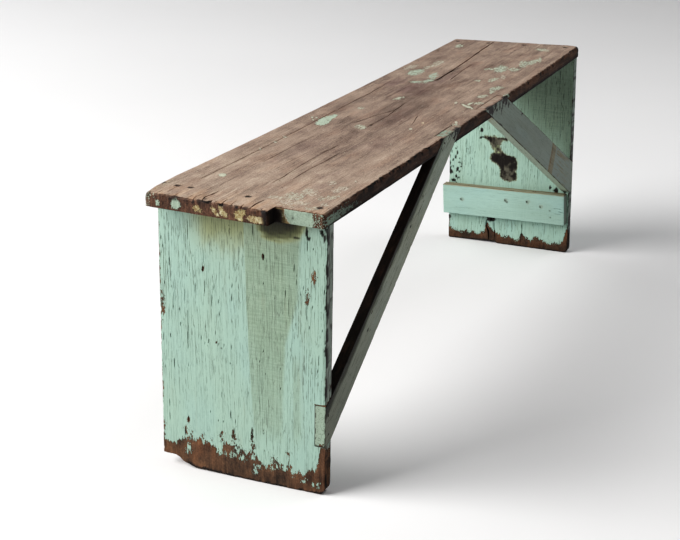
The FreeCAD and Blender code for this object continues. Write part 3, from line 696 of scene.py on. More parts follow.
# ------------------------------------------------------------------ paint left on the seat
# Remnants on the upper face: middle (x, y), a 2 x 2 matrix that takes an offset to the remnant's unit circle,
# its smaller half width, a hue and how ragged it is.
PATCHES = [
    (592.1, 105.8, 0.041, -0.1083, -0.0539, -0.05, 8.3, 0.3, 5), (346.9, 121.0, 0.0284, -0.0622, -0.0269, -0.0961, 8.7, 0.45, 7), (304.4, 94.2, 0.0245, -0.0567, -0.0242, -0.0456, 13.7, 0.15, 6),
    (401.0, 83.4, 0.0276, -0.0599, -0.0139, -0.0945, 8.9, 0.4, 7), (355.8, 89.5, 0.0488, -0.1094, -0.0374, -0.1287, 5.9, 0.4, 6), (221.1, 54.8, 0.0204, -0.0536, -0.0982, -0.0228, 9.9, 0.15, 4),
    (282.0, 47.2, 0.0409, -0.0829, -0.0053, -0.091, 8.0, 0.1, 5), (239.8, 42.9, 0.0383, -0.0951, -0.0848, -0.083, 7.6, 0.15, 4), (74.3, 37.7, 0.044, -0.096, -0.0549, -0.1269, 6.2, 0.35, 3),
    (389.0, -35.9, 0.024, -0.067, -0.0924, -0.0853, 7.7, 0.3, 4), (395.8, -54.6, 0.0287, -0.077, -0.023, -0.0392, 11.4, 0.2, 8), (398.2, -80.7, 0.0309, -0.0956, -0.066, -0.0238, 9.9, 0.3, 7),
    (454.0, -82.4, 0.041, -0.1148, -0.023, -0.0383, 8.0, 0.25, 6), (479.0, -94.6, 0.0211, -0.0547, -0.0256, -0.098, 8.9, 0.25, 5), (503.3, -101.3, 0.0957, -0.3126, -0.0475, -0.0158, 3.1, 0.3, 4),
    (605.8, -77.2, 0.0208, -0.0758, -0.0834, 0.0277, 9.6, 0.35, 6), (293.3, -72.3, 0.0365, -0.094, -0.0447, -0.0939, 7.5, 0.3, 5), (323.2, -82.2, 0.0619, -0.1873, -0.057, -0.0216, 5.1, 0.45, 4),
    (224.8, -102.0, 0.0279, -0.0754, -0.0526, -0.0705, 9.5, 0.25, 6), (194.9, -102.7, 0.0812, -0.166, -0.0063, -0.1822, 4.0, 0.3, 4), (151.3, -99.2, 0.0379, -0.0997, -0.0669, -0.0904, 7.3, 0.35, 4),
    (95.1, -110.7, 0.0421, -0.114, -0.0836, -0.0792, 7.1, 0.35, 4), (71.6, -90.3, 0.0283, -0.1516, -0.2246, 0.2847, 2.6, 0.35, 2), (63.1, -100.0, 0.0247, -0.1345, -0.2253, 0.2858, 2.6, 0.35, 2),
    (58.7, -109.2, 0.0276, -0.153, -0.2537, 0.3225, 2.3, 0.35, 2), (85.3, -97.9, 0.0706, -0.1567, -0.0521, -0.2497, 3.4, 0.35, 2), (83.1, -71.1, 0.1167, -0.322, -0.0886, -0.0385, 2.9, 0.4, 2),
    (105.3, -136.8, 0.0513, -0.1183, -0.0251, -0.1126, 6.1, 0.3, 4), (167.9, -139.4, 0.0502, -0.1114, -0.0158, -0.1297, 5.8, 0.15, 4), (63.5, -135.7, 0.1126, -0.3294, -0.1198, -0.052, 2.9, 0.4, 2),
    (-90.1, -128.9, 0.0464, -0.0989, -0.0207, -0.094, 7.2, 0.2, 4), (-56.5, -122.7, 0.109, -0.3012, -0.0979, -0.045, 3.1, 0.4, 2), (-83.6, -71.1, 0.1382, -0.3587, -0.1262, -0.0593, 2.6, 0.6, 2),
    (-132.2, -67.6, 0.1191, -0.3026, -0.1439, -0.069, 3.1, 0.4, 2), (275.6, -46.8, 0.0678, -0.1952, -0.1149, -0.0451, 4.8, 0.3, 3), (-157.0, 15.5, 0.0406, -0.0978, -0.0691, -0.017, 9.4, 0.35, 3),
    (-128.4, 120.1, 0.1845, -0.3967, -0.1313, -0.0652, 2.3, 0.35, 2), (-129.2, 111.4, 0.1991, -0.4309, -0.1484, -0.0735, 2.1, 0.35, 2), (-145.5, 110.6, 0.2011, -0.4328, -0.1498, -0.0747, 2.1, 0.35, 2),
    (-535.4, 81.3, 0.0777, -0.1455, -0.0908, -0.0513, 6.1, 0.35, 1.5), (-602.6, -45.1, 0.0338, -0.0688, -0.108, -0.0605, 8.1, 0.45, 9), (-586.5, -63.8, 0.0297, -0.062, -0.0479, -0.0266, 14.5, 0.4, 10),
    (-555.7, -71.9, 0.0522, -0.0984, -0.039, -0.0663, 8.3, 0.45, 10), (-565.4, -113.4, 0.0324, -0.0689, -0.0886, -0.0712, 8.6, 0.4, 8), (-495.5, -83.2, 0.0608, -0.1348, -0.0861, -0.0466, 6.7, 0.5, 7),
    (-516.0, -109.8, 0.0477, -0.1009, -0.0719, -0.0722, 8.1, 0.5, 8), (-471.9, -112.2, 0.1881, -0.4345, -0.1635, -0.0874, 2.1, 0.5, 2), (-576.8, -104.2, 0.0717, -0.1566, -0.0875, -0.0481, 5.8, 0.4, 6),
    (-627.9, -112.0, 0.041, -0.0918, -0.1411, -0.0485, 6.7, 0.4, 8), (-557.7, -80.9, 0.0574, -0.1236, -0.0569, -0.0313, 7.3, 0.5, 10), (-531.1, -106.0, 0.0691, -0.1545, -0.1061, -0.0577, 5.9, 0.5, 7),
    (-633.7, -69.8, 0.025, -0.058, -0.2248, -0.0007, 4.4, 0.55, 4), (-604.6, -120.1, 0.0725, -0.1588, -0.12, -0.0663, 5.7, 0.5, 7), (-616.4, -68.6, 0.0358, -0.0791, -0.1012, -0.0219, 9.3, 0.5, 11),
    (-611.8, -87.0, 0.0352, -0.0795, -0.1016, -0.0219, 9.3, 0.5, 11), (-370.7, 100.1, 0.2145, -0.4253, -0.1528, -0.0825, 2.1, 0.4, 1), (-316.6, 99.9, 0.158, -0.3205, -0.1479, -0.0784, 2.8, 0.4, 1),
    (-278.7, 100.0, 0.1378, -0.2839, -0.1301, -0.0681, 3.2, 0.4, 1), (-26.6, 71.4, 0.076, -0.1676, -0.1055, -0.1089, 5.0, 0.35, 3), (-240.4, -76.9, 0.1145, -0.2813, -0.1386, -0.0692, 3.3, 0.5, 3),
    (-640.6, 134.0, 0.073, -0.1485, -0.2042, 0.0512, 4.1, 0.6, 6), (-688.6, 117.5, 0.1186, -0.2005, -0.0336, -0.0199, 4.3, 0.4, 8), (-618.3, 133.4, 0.0535, -0.0727, -0.0199, -0.3054, 3.2, 0.6, 6),
]

MINT_PATCH = [(500.6, 94.4), (532.6, 102.9), (557.0, 99.4), (580.4, 93.3), (576.9, 86.5), (551.5, 83.4), (534.4, 80.9), (517.9, 77.6), (505.7, 76.0), (495.0, 79.5), (494.8, 89.7)]
END_PATCHES = [
    ([(94.4, 441.8), (91.8, 451.1), (86.0, 454.1), (81.6, 450.6), (77.8, 443.5), (83.2, 437.8), (91.1, 437.7)], 0.12),
    ([(119.4, 447.0), (114.8, 445.6), (112.7, 440.7), (118.6, 438.1)], 0.15),
    ([(57.5, 442.8), (52.8, 448.1), (49.0, 447.8), (48.0, 444.2), (43.5, 442.8), (43.2, 439.8), (50.4, 439.7), (56.0, 439.9)], 0.78),
    ([(27.7, 451.1), (23.3, 449.0), (20.1, 444.4), (15.1, 437.9), (16.9, 436.2), (23.1, 440.2), (27.3, 446.4)], 0.76),
    ([(16.5, 452.8), (11.0, 453.6), (7.4, 446.3), (1.7, 443.1), (2.5, 437.8), (8.0, 438.0), (13.5, 442.3), (14.4, 447.3)], 0.76),
    ([(-9.8, 446.9), (-16.5, 451.0), (-26.4, 453.2), (-27.9, 449.3), (-21.8, 441.5), (-23.9, 435.1), (-16.2, 435.1), (-10.8, 439.8)], 0.8),
    ([(-29.5, 442.7), (-36.1, 445.8), (-53.5, 445.4), (-58.8, 443.2), (-58.1, 437.5), (-53.3, 436.2), (-40.3, 435.6), (-33.8, 437.8), (-29.9, 440.1)], 0.74)]


def top_paint(X, Y, where):
    """Signed distance in mm to the paint remnants of the seat's upper face, with each one's hue and raggedness."""
    paint, hue, ragg = np.full(len(X), -12.0), np.full(len(X), 0.12), np.full(len(X), 3.0)
    for cx, cy, m11, m12, m21, m22, half, hv, rg in PATCHES:
        dx, dy = X - cx, Y - cy
        q = np.hypot(m11 * dx + m12 * dy, m21 * dx + m22 * dy)
        d = np.minimum((1 - q) * half * 1.15 - 0.2, 0.14 * rg if rg > 2 else 9.0) - (0.8 if hv > 0.38 and rg > 2 else 0.0)
        live = where & (d > paint)
        paint[live], hue[live], ragg[live] = d[live], hv, (rg * 0.7 + 2.0 if rg > 2 else 1.3)
    d = np.minimum(-polygon_distance(X, Y, [(a - X0, c) for a, c in MINT_PATCH]), 2.2)
    live = where & (d > paint)
    paint[live], hue[live], ragg[live] = d[live], 0.16, 3.5
    return paint, hue, ragg


# ------------------------------------------------------------------ seat board
def dent(P, n, centre, r, depth):
    """Pushes the points near centre in, against the outward direction n."""
    d = np.linalg.norm(P - np.array(centre, float), axis=1)
    P -= (depth * smooth(r, r * 0.35, d))[:, None] * np.array(n, float)
    return d


def make_seat():
    outline = [(NEAR_END, BACK), (NEAR_END, STEP_Y), (STEP_END, STEP_Y), (STEP_END, FRONT), (FAR_END, FRONT), (FAR_END, BACK)]
    bm = carve(prism(outline, 2, SEAT_UNDER, SEAT_TOP), [notch(NB, near_front), notch(FB, far_front)])
    b = Board("seat_board_worn", bm, (1, 0, 0), (0, 1, 0), (0, 0, 1))
    x = lambda v: v - X0
    top = [
        Crack([(x(96), 99.5), (x(300), 100.5), (x(490), 102), (x(640), 105), (x(760), 104), (x(852), 108)], 2.2, 6.0, 1, 0.8, 40),
        Crack([(x(533.8), 37.2), (x(567.7), 31.3), (x(602), 25.3), (x(655), 9.4), (x(712), 12)], 2.6, 5.0, 2, 0.8, 30),
        Crack([(x(515.3), 4.9), (x(544.6), 5.1), (x(599.2), 3.3), (x(651.6), 7.9)], 2.2, 4.0, 3, 0.6, 20, taper=8),
        Crack([(x(897), 38.6), (x(917), 29.2), (x(1006), 31.6), (x(1107), 36.6), (x(1203), 43.7), (x(1345), 50.5)], 4.2, 8.0, 4, 0.8, 30, taper=30),
        Crack([(x(918), 27), (x(988), 30), (x(1052), 27)], 2.2, 3.0, 5, 0.6, 22),
        Crack([(x(930), 5), (x(1026), 13), (x(1092), 15)], 2.0, 2.5, 6, 0.7, 22),
        Crack([(x(128), -4), (x(172), -5), (x(211), -2), (x(290), 1), (x(385), -1)], 2.0, 3.0, 7, 0.7, 24),
        Crack([(x(158), -24), (x(217), -21), (x(273), -23), (x(338), -24)], 1.9, 2.5, 8, 0.7, 24),
        Crack([(x(322), 3), (x(352), 2)], 1.8, 2.5, 9, 0.3, 20, taper=8),
        Crack([(x(560), -60), (x(600), -51), (x(640), -42)], 1.5, 2.0, 10, 0.8, 15),
        Crack([(x(-3), 41), (x(18.8), 47.8), (x(36.6), 45.1), (x(57.2), 44.9)], 3.6, 7.0, 11, 0.5, 12, taper=22),
        Crack([(x(-3), -34.6), (x(25), -32.2), (x(36), -33.4), (x(50), -34)], 4.2, 7.0, 12, 0.5, 12, taper=20),
        Crack([(x(-3), 10), (x(15), 13.2), (x(28), 14)], 2.4, 5.0, 31, 0.5, 10, taper=16),
        Crack([(x(-3), 57), (x(14), 60), (x(30), 59)], 2.4, 4.0, 33, 0.5, 10, taper=16),
        Crack([(x(-3), 29), (x(14), 31)], 2.0, 4.0, 34, 0.5, 10, taper=10),
        Crack([(x(-3), -20), (x(17), -18)], 2.2, 4.0, 35, 0.5, 10, taper=12),
        Crack([(x(-3), 88), (x(20), 91)], 2.0, 4.0, 36, 0.5, 10, taper=12),
        Crack([(x(-3), 100), (x(12), 101)], 3.0, 6.0, 37, 0.5, 10, taper=10),
        Crack([(x(14), 107), (x(42), 110), (x(62), 106)], 1.6, 2.5, 13, 0.8, 9),
        Crack([(x(-2), -4), (x(26), 0)], 1.8, 4.0, 14, 0.4, 9, taper=12),
        Crack([(x(-2), 66), (x(22), 68)], 1.6, 3.0, 15, 0.5, 9, taper=12),
        Crack([(x(-2), 118), (x(20), 119)], 1.6, 3.0, 16, 0.5, 9, taper=12),
        Crack([(x(-2), 22), (x(16), 23)], 1.5, 3.0, 17, 0.5, 9, taper=12),
        Crack([(x(-2), -50), (x(14), -51)], 1.5, 3.0, 18, 0.5, 9, taper=12),
        Crack([(x(1250), 104), (x(1345), 108)], 1.3, 3.0, 19, 0.6, 20, taper=30),
        Crack([(x(1275), -60), (x(1345), -57)], 1.3, 3.0, 20, 0.6, 20, taper=30),
        Crack([(x(240), 60), (x(330), 62), (x(430), 60)], 1.0, 1.2, 21, 0.8, 30),
        Crack([(x(1000), -30), (x(1090), -27)], 1.0, 1.2, 22, 0.6, 30),
        Crack([(x(740), 62), (x(830), 60), (x(900), 64)], 1.1, 1.4, 23, 0.6, 30),
    ]
    under = [
        Crack([(x(40), -52), (x(300), -46), (x(520), -50)], 1.6, 3.5, 31, 1.0, 40),
        Crack([(x(800), 66), (x(1100), 70), (x(1345), 66)], 1.8, 4.0, 32, 1.0, 40),
    ]
    b.mesh_up(4.5, 1.9, 4.0, top, under, back_coarse=6.0)
    O = b.O
    X, Y, Z = O[:, 0], O[:, 1], O[:, 2]
    nz = lambda sx, sy, seed, o=3: fbm(X / sx, Y / sy, Z / 7.0, seed, o)
    back_worn = smooth(-560, -660, X)
    # plan corners first
    b.roll((-1, 0, 0), -NEAR_END, (0, 1, 0), BACK, 14.0)
    b.roll((1, 0, 0), FAR_END, (0, 1, 0), BACK, 14.0)
    b.roll((1, 0, 0), FAR_END, (0, -1, 0), -FRONT, 9.0)
    b.roll((-1, 0, 0), -STEP_END, (0, -1, 0), -FRONT, 4.0, where=(Y < STEP_Y - 1))
    b.roll((-1, 0, 0), -NEAR_END, (0, -1, 0), -STEP_Y, 3.0, where=(X < STEP_END - 0.5))
    # long arrises
    wob = fbm(X / 22.0, 1.3, 0.2, 41, 3)
    nick = np.clip(fbm(X / 7.0, 2.3, 0.2, 43, 2) - 0.12, 0, 1) * 6.0 + np.clip(vnoise(X / 31.0, 5.3, 0.2, 44) - 0.2, 0, 1) * 3.0
    front_r = 3.4 + 1.3 * wob + nick + 6.0 * np.exp(-((X - x(1074)) / 4.5) ** 2) + 5.0 * smooth(630, 668, X)
    front_r = front_r + 7.0 * np.clip(fbm(X / 13.0, 0.9, 0.2, 42, 3) - 0.06, 0, 1) * smooth(-150, 100, X)
    back_r = 3.0 + 1.1 * fbm(X / 30.0, 7.3, 0.2, 47, 3) + 3.5 * back_worn + 6.0 * smooth(-630, -668, X)
    b.roll((0, -1, 0), -FRONT, (0, 0, 1), SEAT_TOP, front_r)
    b.roll((0, 1, 0), BACK, (0, 0, 1), SEAT_TOP, back_r)
    b.roll((0, -1, 0), -FRONT, (0, 0, -1), -SEAT_UNDER, 1.6 + 0.8 * wob)
    b.roll((0, 1, 0), BACK, (0, 0, -1), -SEAT_UNDER, 1.8 + 0.8 * wob)
    # end arrises, ragged at the near end
    rag = fbm(Y / 9.0, 0.4, 0.9, 51, 3)
    bite = np.clip(vnoise(Y / 3.4, 0.1, 0.4, 53) - 0.05, 0, 1) * 5.0 + np.clip(vnoise(Y / 10.0, 0.1, 0.4, 54), 0, 1) * 4.0
    near_r = 3.2 + 1.6 * rag + 1.1 * bite + 6.0 * smooth(108, 138, Y)
    b.roll((-1, 0, 0), -NEAR_END, (0, 0, 1), SEAT_TOP, near_r, where=(Y > STEP_Y - 0.5))
    b.roll((-1, 0, 0), -NEAR_END, (0, 0, -1), -SEAT_UNDER, 1.8 + 0.8 * rag, where=(Y > STEP_Y - 0.5))
    b.roll((-1, 0, 0), -STEP_END, (0, 0, 1), SEAT_TOP, 2.0 + 0.8 * rag + 0.35 * bite, where=(Y < STEP_Y - 0.5))
    b.roll((-1, 0, 0), -STEP_END, (0, 0, -1), -SEAT_UNDER, 1.2, where=(Y < STEP_Y - 0.5))
    b.roll((1, 0, 0), FAR_END, (0, 0, 1), SEAT_TOP, 2.8 + 0.8 * rag + 0.5 * bite + 6.0 * smooth(-112, -136, Y))
    b.roll((1, 0, 0), FAR_END, (0, 0, -1), -SEAT_UNDER, 1.6)
    b.roll((0, -1, 0), -STEP_Y, (0, 0, 1), SEAT_TOP, 2.0 + bite, where=(X < STEP_END - 0.3))
    # surfaces
    N = b.normals()
    is_top = N[:, 2] > 0.6
    end_face = N[:, 0] < -0.6
    front_face = N[:, 1] < -0.6
    ridge = nz(160, 5.5, 61, 2) * 0.16 + nz(420, 60, 62, 2) * 0.5 + nz(60, 2.4, 63, 2) * 0.08
    h = np.where(is_top, ridge - 0.35, 0)
    h = np.where(end_face, fbm(X / 4, Y / 3.0, Z / 5.0, 64, 3) * 0.9 - 0.6, h)
    step_face = (N[:, 1] < -0.6) & (X < STEP_END) & (Y > STEP_Y - 1)
    h = np.where(front_face, fbm(X / 26.0, 0.0, Z / 3.2, 65, 3) * 0.55 - 0.4, h)
    h = np.where(step_face, fbm(X / 7.0, 0.0, Z / 3.0, 66, 3) * 1.6 - 1.6, h)
    h = np.where(N[:, 1] > 0.6, fbm(X / 40.0, 0.0, Z / 4.0, 67, 3) * 0.4 - 0.3, h)
    b.P += h[:, None] * N
    b.open_cracks()
    # hollows at the nail heads and the knot hole
    spots = np.zeros(len(X))
    for px, py, r in ((-616.0, 137.1, 5.0), (534.0, 41.6, 3.2), (585.0, -21.7, 3.0), (527.0, 130.7, 4.0), (-661.0, 43.0, 3.6), (-668, 32, 3.0)):
        spots = np.maximum(spots, smooth(r, r * 0.45, np.hypot((X - px) * 0.6, Y - py)) * (Z > SEAT_TOP - 2))
    rust = np.zeros(len(X))
    for nx, ny in SEAT_NEAR_NAILS + SEAT_FAR_NAILS:
        d = dent(b.P, (0, 0, 1), (nx, ny, SEAT_TOP), 5.2, 0.9)
        rust = np.maximum(rust, smooth(6.6, 4.0, d + 1.2 * fbm(X / 3, Y / 2, 0.3, 78, 2)))
    hole = dent(b.P, (0, 0, 1), (x(536), 4, SEAT_TOP), 3.2, 4.0)
    # attributes
    to_top = np.clip(SEAT_TOP - b.P[:, 2], 0, 30)
    side = smooth(0.8, 3.4, to_top + 1.6 * fbm(X / 6, Y / 3, 0.5, 71, 3))
    reach = 2.4 + 5.5 * np.clip(fbm(X / 9.0, 0.3, 0.5, 72, 3), -0.4, 1) + 5.0 * np.clip(vnoise(X / 24.0, 0.3, 0.5, 73) - 0.25, 0, 1) + 2.2 * vnoise(X / 4.6, 0.3, 0.5, 79)
    side = np.maximum(side, smooth(reach + 0.9, reach - 0.9, Y - FRONT) * 0.95 * smooth(-640, -600, X))
    reach_front = reach
    reach = 1.5 + 6.0 * np.clip(fbm(Y / 5.0, 0.3, 0.5, 74, 3) - 0.05, 0, 1) + 3.0 * np.clip(vnoise(Y / 2.0, 0.3, 0.5, 75), 0, 1)
    end_of = np.where(Y > STEP_Y, NEAR_END, STEP_END)
    side = np.maximum(side, smooth(reach + 1.2, reach - 1.2, X - end_of) * 0.9)
    ends = np.minimum(np.abs(X - FAR_END), np.where(Y > STEP_Y, np.abs(X - NEAR_END), np.abs(X - STEP_END)))
    edge = smooth(7.0, 0.0, np.minimum.reduce([ends, np.abs(Y - FRONT), np.abs(Y - BACK)])) * (Z > SEAT_TOP - 4)
    paint, hue, ragg = top_paint(X, Y, Z > SEAT_TOP - 6)
    # old paint on the near end's upright faces
    end = (X < STEP_END + 4) & (Z < SEAT_TOP - 0.5) & (N[:, 0] < -0.3)

    def end_patch(pts, hv, rg=2.5, lift=0.0, where=end, cap=3.0):
        d = np.minimum(-polygon_distance(Y, Z, pts) + lift, cap)
        live = (d > paint) & where
        paint[live] = d[live]
        hue[live], ragg[live] = hv, rg

    outer_end = end & (Y > STEP_Y - 0.5)
    for pts, hv in END_PATCHES:
        end_patch(pts, hv, 2.3, 0.5, outer_end, 2.6)
    corner_end = (Y > 128) & (X < NEAR_END + 16) & (Z < SEAT_TOP + 1)
    live = corner_end & (paint < -0.6)
    paint[live], hue[live], ragg[live] = -1.2, 0.24, 4.2
    recess = end & (Y < STEP_Y - 0.5)
    end_patch([(-60, 460), (-80, 460), (-77, 450), (-79, 442), (-92, 430), (-74, 430), (-66, 445)], 0.93, 3.5, 0.5, recess)
    end_patch([(-75, 460), (-114, 460), (-120, 454), (-122, 445), (-120, 430), (-88, 430), (-79, 441), (-75, 450)], 0.1, 3.5, 1.2, recess)
    end_patch([(-117, 462), (-142, 462), (-142, 428), (-117, 428)], 0.12, 5.0, 0.0, recess, -0.9)
    # grey green paint left on the front edge near the near end
    fr = (N[:, 1] < -0.4) & (Y < FRONT + 3)
    d = 3.4 - np.abs(Z - 441.5) * 0.55 - smooth(-600, -455, X) * 8 - smooth(-634, -642, X) * 4
    live = fr & (d > paint)
    paint[live], hue[live], ragg[live] = d[live], 0.0, 6.0
    b.attr["dark"] = np.clip(b.attr["dark"] + rust * 0.88 + 0.85 * spots + smooth(4.2, 2.4, hole), 0, 1)
    # painted shade in the step's recess, and darkening along the front edge and its lower arris: dirt and painted shade
    cavity = smooth(17, 4, np.hypot((Y - STEP_Y) * 0.8, X - STEP_END)) * (Z < SEAT_TOP - 2) * (X < STEP_END + 4)
    knot = smooth(3.6, 1.4, np.hypot(Y + 90, Z - 445)) * (X < STEP_END + 3)
    # the front edge's darkening, dirt and painted shade, strongest along its lower arris
    grime_and_shade = np.where(fr, 0.36 + 0.60 * np.clip(fbm(X / 14, 0.3, Z / 4, 83, 3) + 0.25, 0, 1) + 0.75 * smooth(438.5, 435.0, Z + 1.2 * fbm(X / 9, 0.1, 0.3, 84, 2)), 0)
    grime_and_shade = grime_and_shade * (0.35 + 0.65 * smooth(1.5, 9.0, to_top + 4 * fbm(X / 13, 0.2, 0.3, 94, 3)))
    grime_and_shade = grime_and_shade * np.interp(X, [-650, -560, -60, 160, 671], [0, 1, 1, 0.42, 0.10]) + np.where(fr, 0.5 * smooth(437.5, 435, Z) + 0.7 * smooth(446, 436, Z + 3 * fbm(X / 9, 0.1, 0.3, 95, 2)) * smooth(0, 250, X), 0)
    far_corner = smooth(20, 8, np.hypot((X - FAR_END) * 0.8, Y - FRONT)) * (to_top > 1.0)
    # broken wood along the near end's upper arris, with painted shade in its hollows, and nicks along the front one
    from_end = X - end_of
    teeth = smooth(0.06, 0.34, fbm(Y / 6.0, X / 8.0, Z / 6.0, 87, 3) + 0.05 * bite) * smooth(8.5, 2.0, from_end + 3.5 * fbm(Y / 2.8, X / 4.0, 0.2, 88, 2)) * smooth(10, 4, to_top)
    teeth = teeth * np.where(Y > STEP_Y, 1.0, 0.35)
    blot = smooth(0.02, 0.34, fbm(Y / 7.0, 0.3, Z / 5.0, 89, 3)) * smooth(13, 5, to_top) * (N[:, 0] < -0.5)
    nicks = smooth(0.1, 0.42, vnoise(X / 5.2, 0.3, Z / 5.0, 90) + 0.5 * vnoise(X / 17.0, 0.7, 0.2, 91)) * smooth(reach_front + 1.6, reach_front - 0.6, Y - FRONT) * smooth(reach_front - 4.5, reach_front - 2.0, Y - FRONT)
    nicks = nicks * (to_top < 9) * smooth(-640, -600, X)
    step_side = smooth(STEP_Y - 2, STEP_Y + 4, Y) * smooth(STEP_Y + 14, STEP_Y + 5, Y + 5 * fbm(Z / 5, X / 5, 0.2, 92, 3)) * (X < STEP_END - 0.5) * (to_top > 1.5)
    step_side = np.maximum(step_side, (X < STEP_END - 0.5) * (Y < STEP_Y + 2) * (to_top > 1.0) * (0.75 + 0.5 * fbm(X / 4, 0.3, Z / 4, 93, 3)))
    b.attr["dark"] = np.clip(b.attr["dark"] + 0.9 * cavity + 0.8 * knot + grime_and_shade + 0.9 * far_corner + 0.65 * teeth + 0.5 * blot * (Y > STEP_Y) + 0.8 * nicks + 0.9 * step_side, 0, 1)
    tone = 0.9 * fbm(X / 300.0, Y / 24.0, 0.3, 81, 2) + smooth(-200, -640, X) * 1.1
    tone += -0.8 * np.exp(-(((X - x(830)) / 120) ** 2 + ((Y - 40) / 45) ** 2)) - 0.6 * np.exp(-(((X - x(640)) / 140) ** 2 + ((Y + 20) / 50) ** 2))
    bruise = np.zeros(len(X))
    for px, py, ra, rb, k in ((158, 52, 50, 26, 1.0), (202, 97, 42, 18, 0.9), (141, 19, 45, 18, 0.7), (266, 20, 70, 14, 0.6), (208, 45, 60, 20, 0.8), (-60, -15, 70, 22, 0.5), (-320, 40, 60, 22, 0.4), (-250, -60, 60, 20, 0.4)):
        bruise = np.maximum(bruise, k * smooth(1.5, 0.2, np.hypot((X - px) / ra, (Y - py) / rb) + 0.5 * fbm(X / 30, Y / 10, 0.3, 86, 3)))
    warm = smooth(-590, -655, X) * np.clip(0.9 * fbm(X / 26.0, Y / 8.0, 0.3, 85, 3) + 0.35, 0, 1) * (to_top < 6)
    b.attr.update(paint=paint, hue=hue, rag=ragg, edge=edge, side=np.clip(side, 0, 1), tone=np.clip(tone, -1, 1), warm=np.clip(0.6 * warm, 0, 0.5), bruise=bruise)
    return b.finish("seat_board", seat_material())


# ------------------------------------------------------------------ legs
NEAR_SLITS = [
    (136, 378, 374, 3.0), (133, 366, 361, 1.9), (121, 401, 397, 1.9), (123, 347, 334, 1.9), (126, 326, 319, 2.6), (132, 309, 301, 2.2),
    (66, 341, 333, 3.4), (90, 410, 379, 1.2), (80, 310, 295, 1.7), (98, 300, 277, 1.2), (94, 265, 217, 1.4), (41, 293, 285, 1.9),
    (40, 272, 265, 1.9), (48, 315, 306, 1.8), (17, 320, 316, 2.4), (18, 306, 293, 1.4), (107, 245, 239, 2.6), (118, 270, 265, 2.1),
    (-36, 375, 368, 3.2), (-35, 332, 329, 2.8), (-19, 420, 403, 2.0), (-106, 427, 410, 4.4), (-106, 410, 392, 1.5), (-116, 398, 395, 2.2),
    (-85, 369, 357, 2.0), (-89, 354, 350, 2.2), (-114, 308, 304, 2.5), (-71, 326, 315, 1.8), (-133, 338, 328, 2.8), (-54, 313, 310, 2.4),
    (-95, 326, 322, 1.8), (-100, 336, 332, 1.8), (19, 407, 404, 1.8), (82, 356, 353, 1.5), (108, 267, 263, 1.8), (-105, 307, 285, 1.3),
    (-130, 428, 421, 3.8), (122, 387, 371, 1.1), (117, 291, 270, 1.1), (64, 369, 344, 1.1), (64, 320, 300, 1.1), (-89, 347, 336, 1.1),
    (-76, 313, 287, 1.0), (52, 298, 280, 1.1), (125, 223, 217, 2.8), (95, 232, 203, 1.8), (137, 223, 209, 2.0), (72, 230, 220, 1.7),
    (59, 224, 220, 2.6), (47, 240, 234, 1.6), (33, 222, 216, 2.1), (20, 223, 215, 1.6), (120, 184, 167, 1.8), (95, 178, 175, 1.6),
    (23, 192, 189, 2.1), (-33, 223, 220, 2.5), (-27, 205, 202, 2.4), (-36, 187, 184, 1.8), (-61, 167, 164, 1.8), (-61, 200, 197, 2.1),
    (39, 141, 132, 1.6), (-6, 151, 143, 1.6), (131, 113, 101, 1.6), (59, 107, 103, 1.6), (24, 112, 99, 2.8), (98, 90, 79, 3.0),
    (46, 93, 90, 2.1), (37, 94, 91, 2.4), (16, 99, 92, 1.6), (104, 67, 55, 2.8), (19, 83, 65, 2.4), (-12, 89, 71, 2.4),
    (-109, 275, 271, 3.0), (-124, 231, 215, 1.6), (-122, 208, 203, 2.1), (-130, 274, 269, 1.8), (-121, 151, 148, 2.4), (-32, 87, 85, 1.8),
    (-80, 118, 112, 1.1), (66, 217, 215, 1.6), (136, 169, 163, 1.5), (131, 90, 78, 1.3)]
NEAR_EDGE = [(146, 34), (139, 35), (128, 30), (121, 28), (118, 42), (110, 47), (103, 51), (97, 53), (94, 50), (86, 50), (76, 55), (73, 42), (71, 52), (65, 53),
             (60, 48), (54, 48), (48, 41), (44, 37), (40, 43), (39, 55), (31, 56), (22, 55), (18, 50), (14, 45), (9, 52), (3, 52), (-2, 45), (-7, 52),
             (-13, 55), (-17, 45), (-24, 38), (-29, 33), (-34, 25), (-41, 33), (-46, 33), (-52, 38), (-58, 37), (-62, 30), (-68, 29), (-75, 39),
             (-79, 23), (-85, 27), (-91, 34), (-97, 27), (-103, 35), (-111, 42), (-118, 39), (-122, 53), (-125, 66), (-126, 82), (-150, 84)]
NEAR_ISLANDS = [(99, 34, 2.7, 5.0), (44, 40, 2.7, 3.6), (21, 38, 2.9, 2.1), (5, 36, 1.8, 1.4), (13, 48, 2.0, 2.1), (-20, 26, 1.6, 1.2), (-17, 17, 1.2, 1.6),
                (34, 37, 1.4, 1.4), (-44, 30, 2.0, 1.4), (-53, 33, 1.6, 1.8), (-99, 18, 1.4, 1.6), (-122, 15, 1.2, 1.6), (-115, 14, 1.0, 1.1), (-13, 41, 2.0, 2.1), (103, 24, 1.6, 1.8)]
NEAR_BARE = [(103, 63, 1.6, 5.3), (102, 50, 2.7, 2.5), (94, 56, 1.4, 4.5), (41, 66, 3.1, 3.6), (39, 60, 2.0, 2.5), (20, 74, 2.0, 8.0), (16, 66, 2.7, 1.8), (11, 54, 2.0, 2.1),
             (20, 53, 2.0, 2.1), (-12, 79, 1.6, 8.9), (-13, 61, 1.6, 3.9), (57, 59, 2.3, 1.8), (-50, 42, 2.3, 4.3), (-74, 37, 2.7, 5.0), (-56, 37, 3.9, 1.4),
             (75, 60, 1.2, 2.1), (-72, 59, 1.0, 1.4), (-117, 353, 3.6, 8.4), (-106, 320, 2.4, 7.6), (137, 267, 3.0, 14.0), (98, 84, 1.8, 5.0), (39, 72, 2.6, 3.0), (46, 222, 1.6, 1.8), (-35, 372, 1.8, 3.4), (66, 337, 2.0, 4.0)]


def interp_edge(t, pts):
    p = sorted(pts)
    return np.interp(t, [a for a, _ in p], [b for _, b in p])


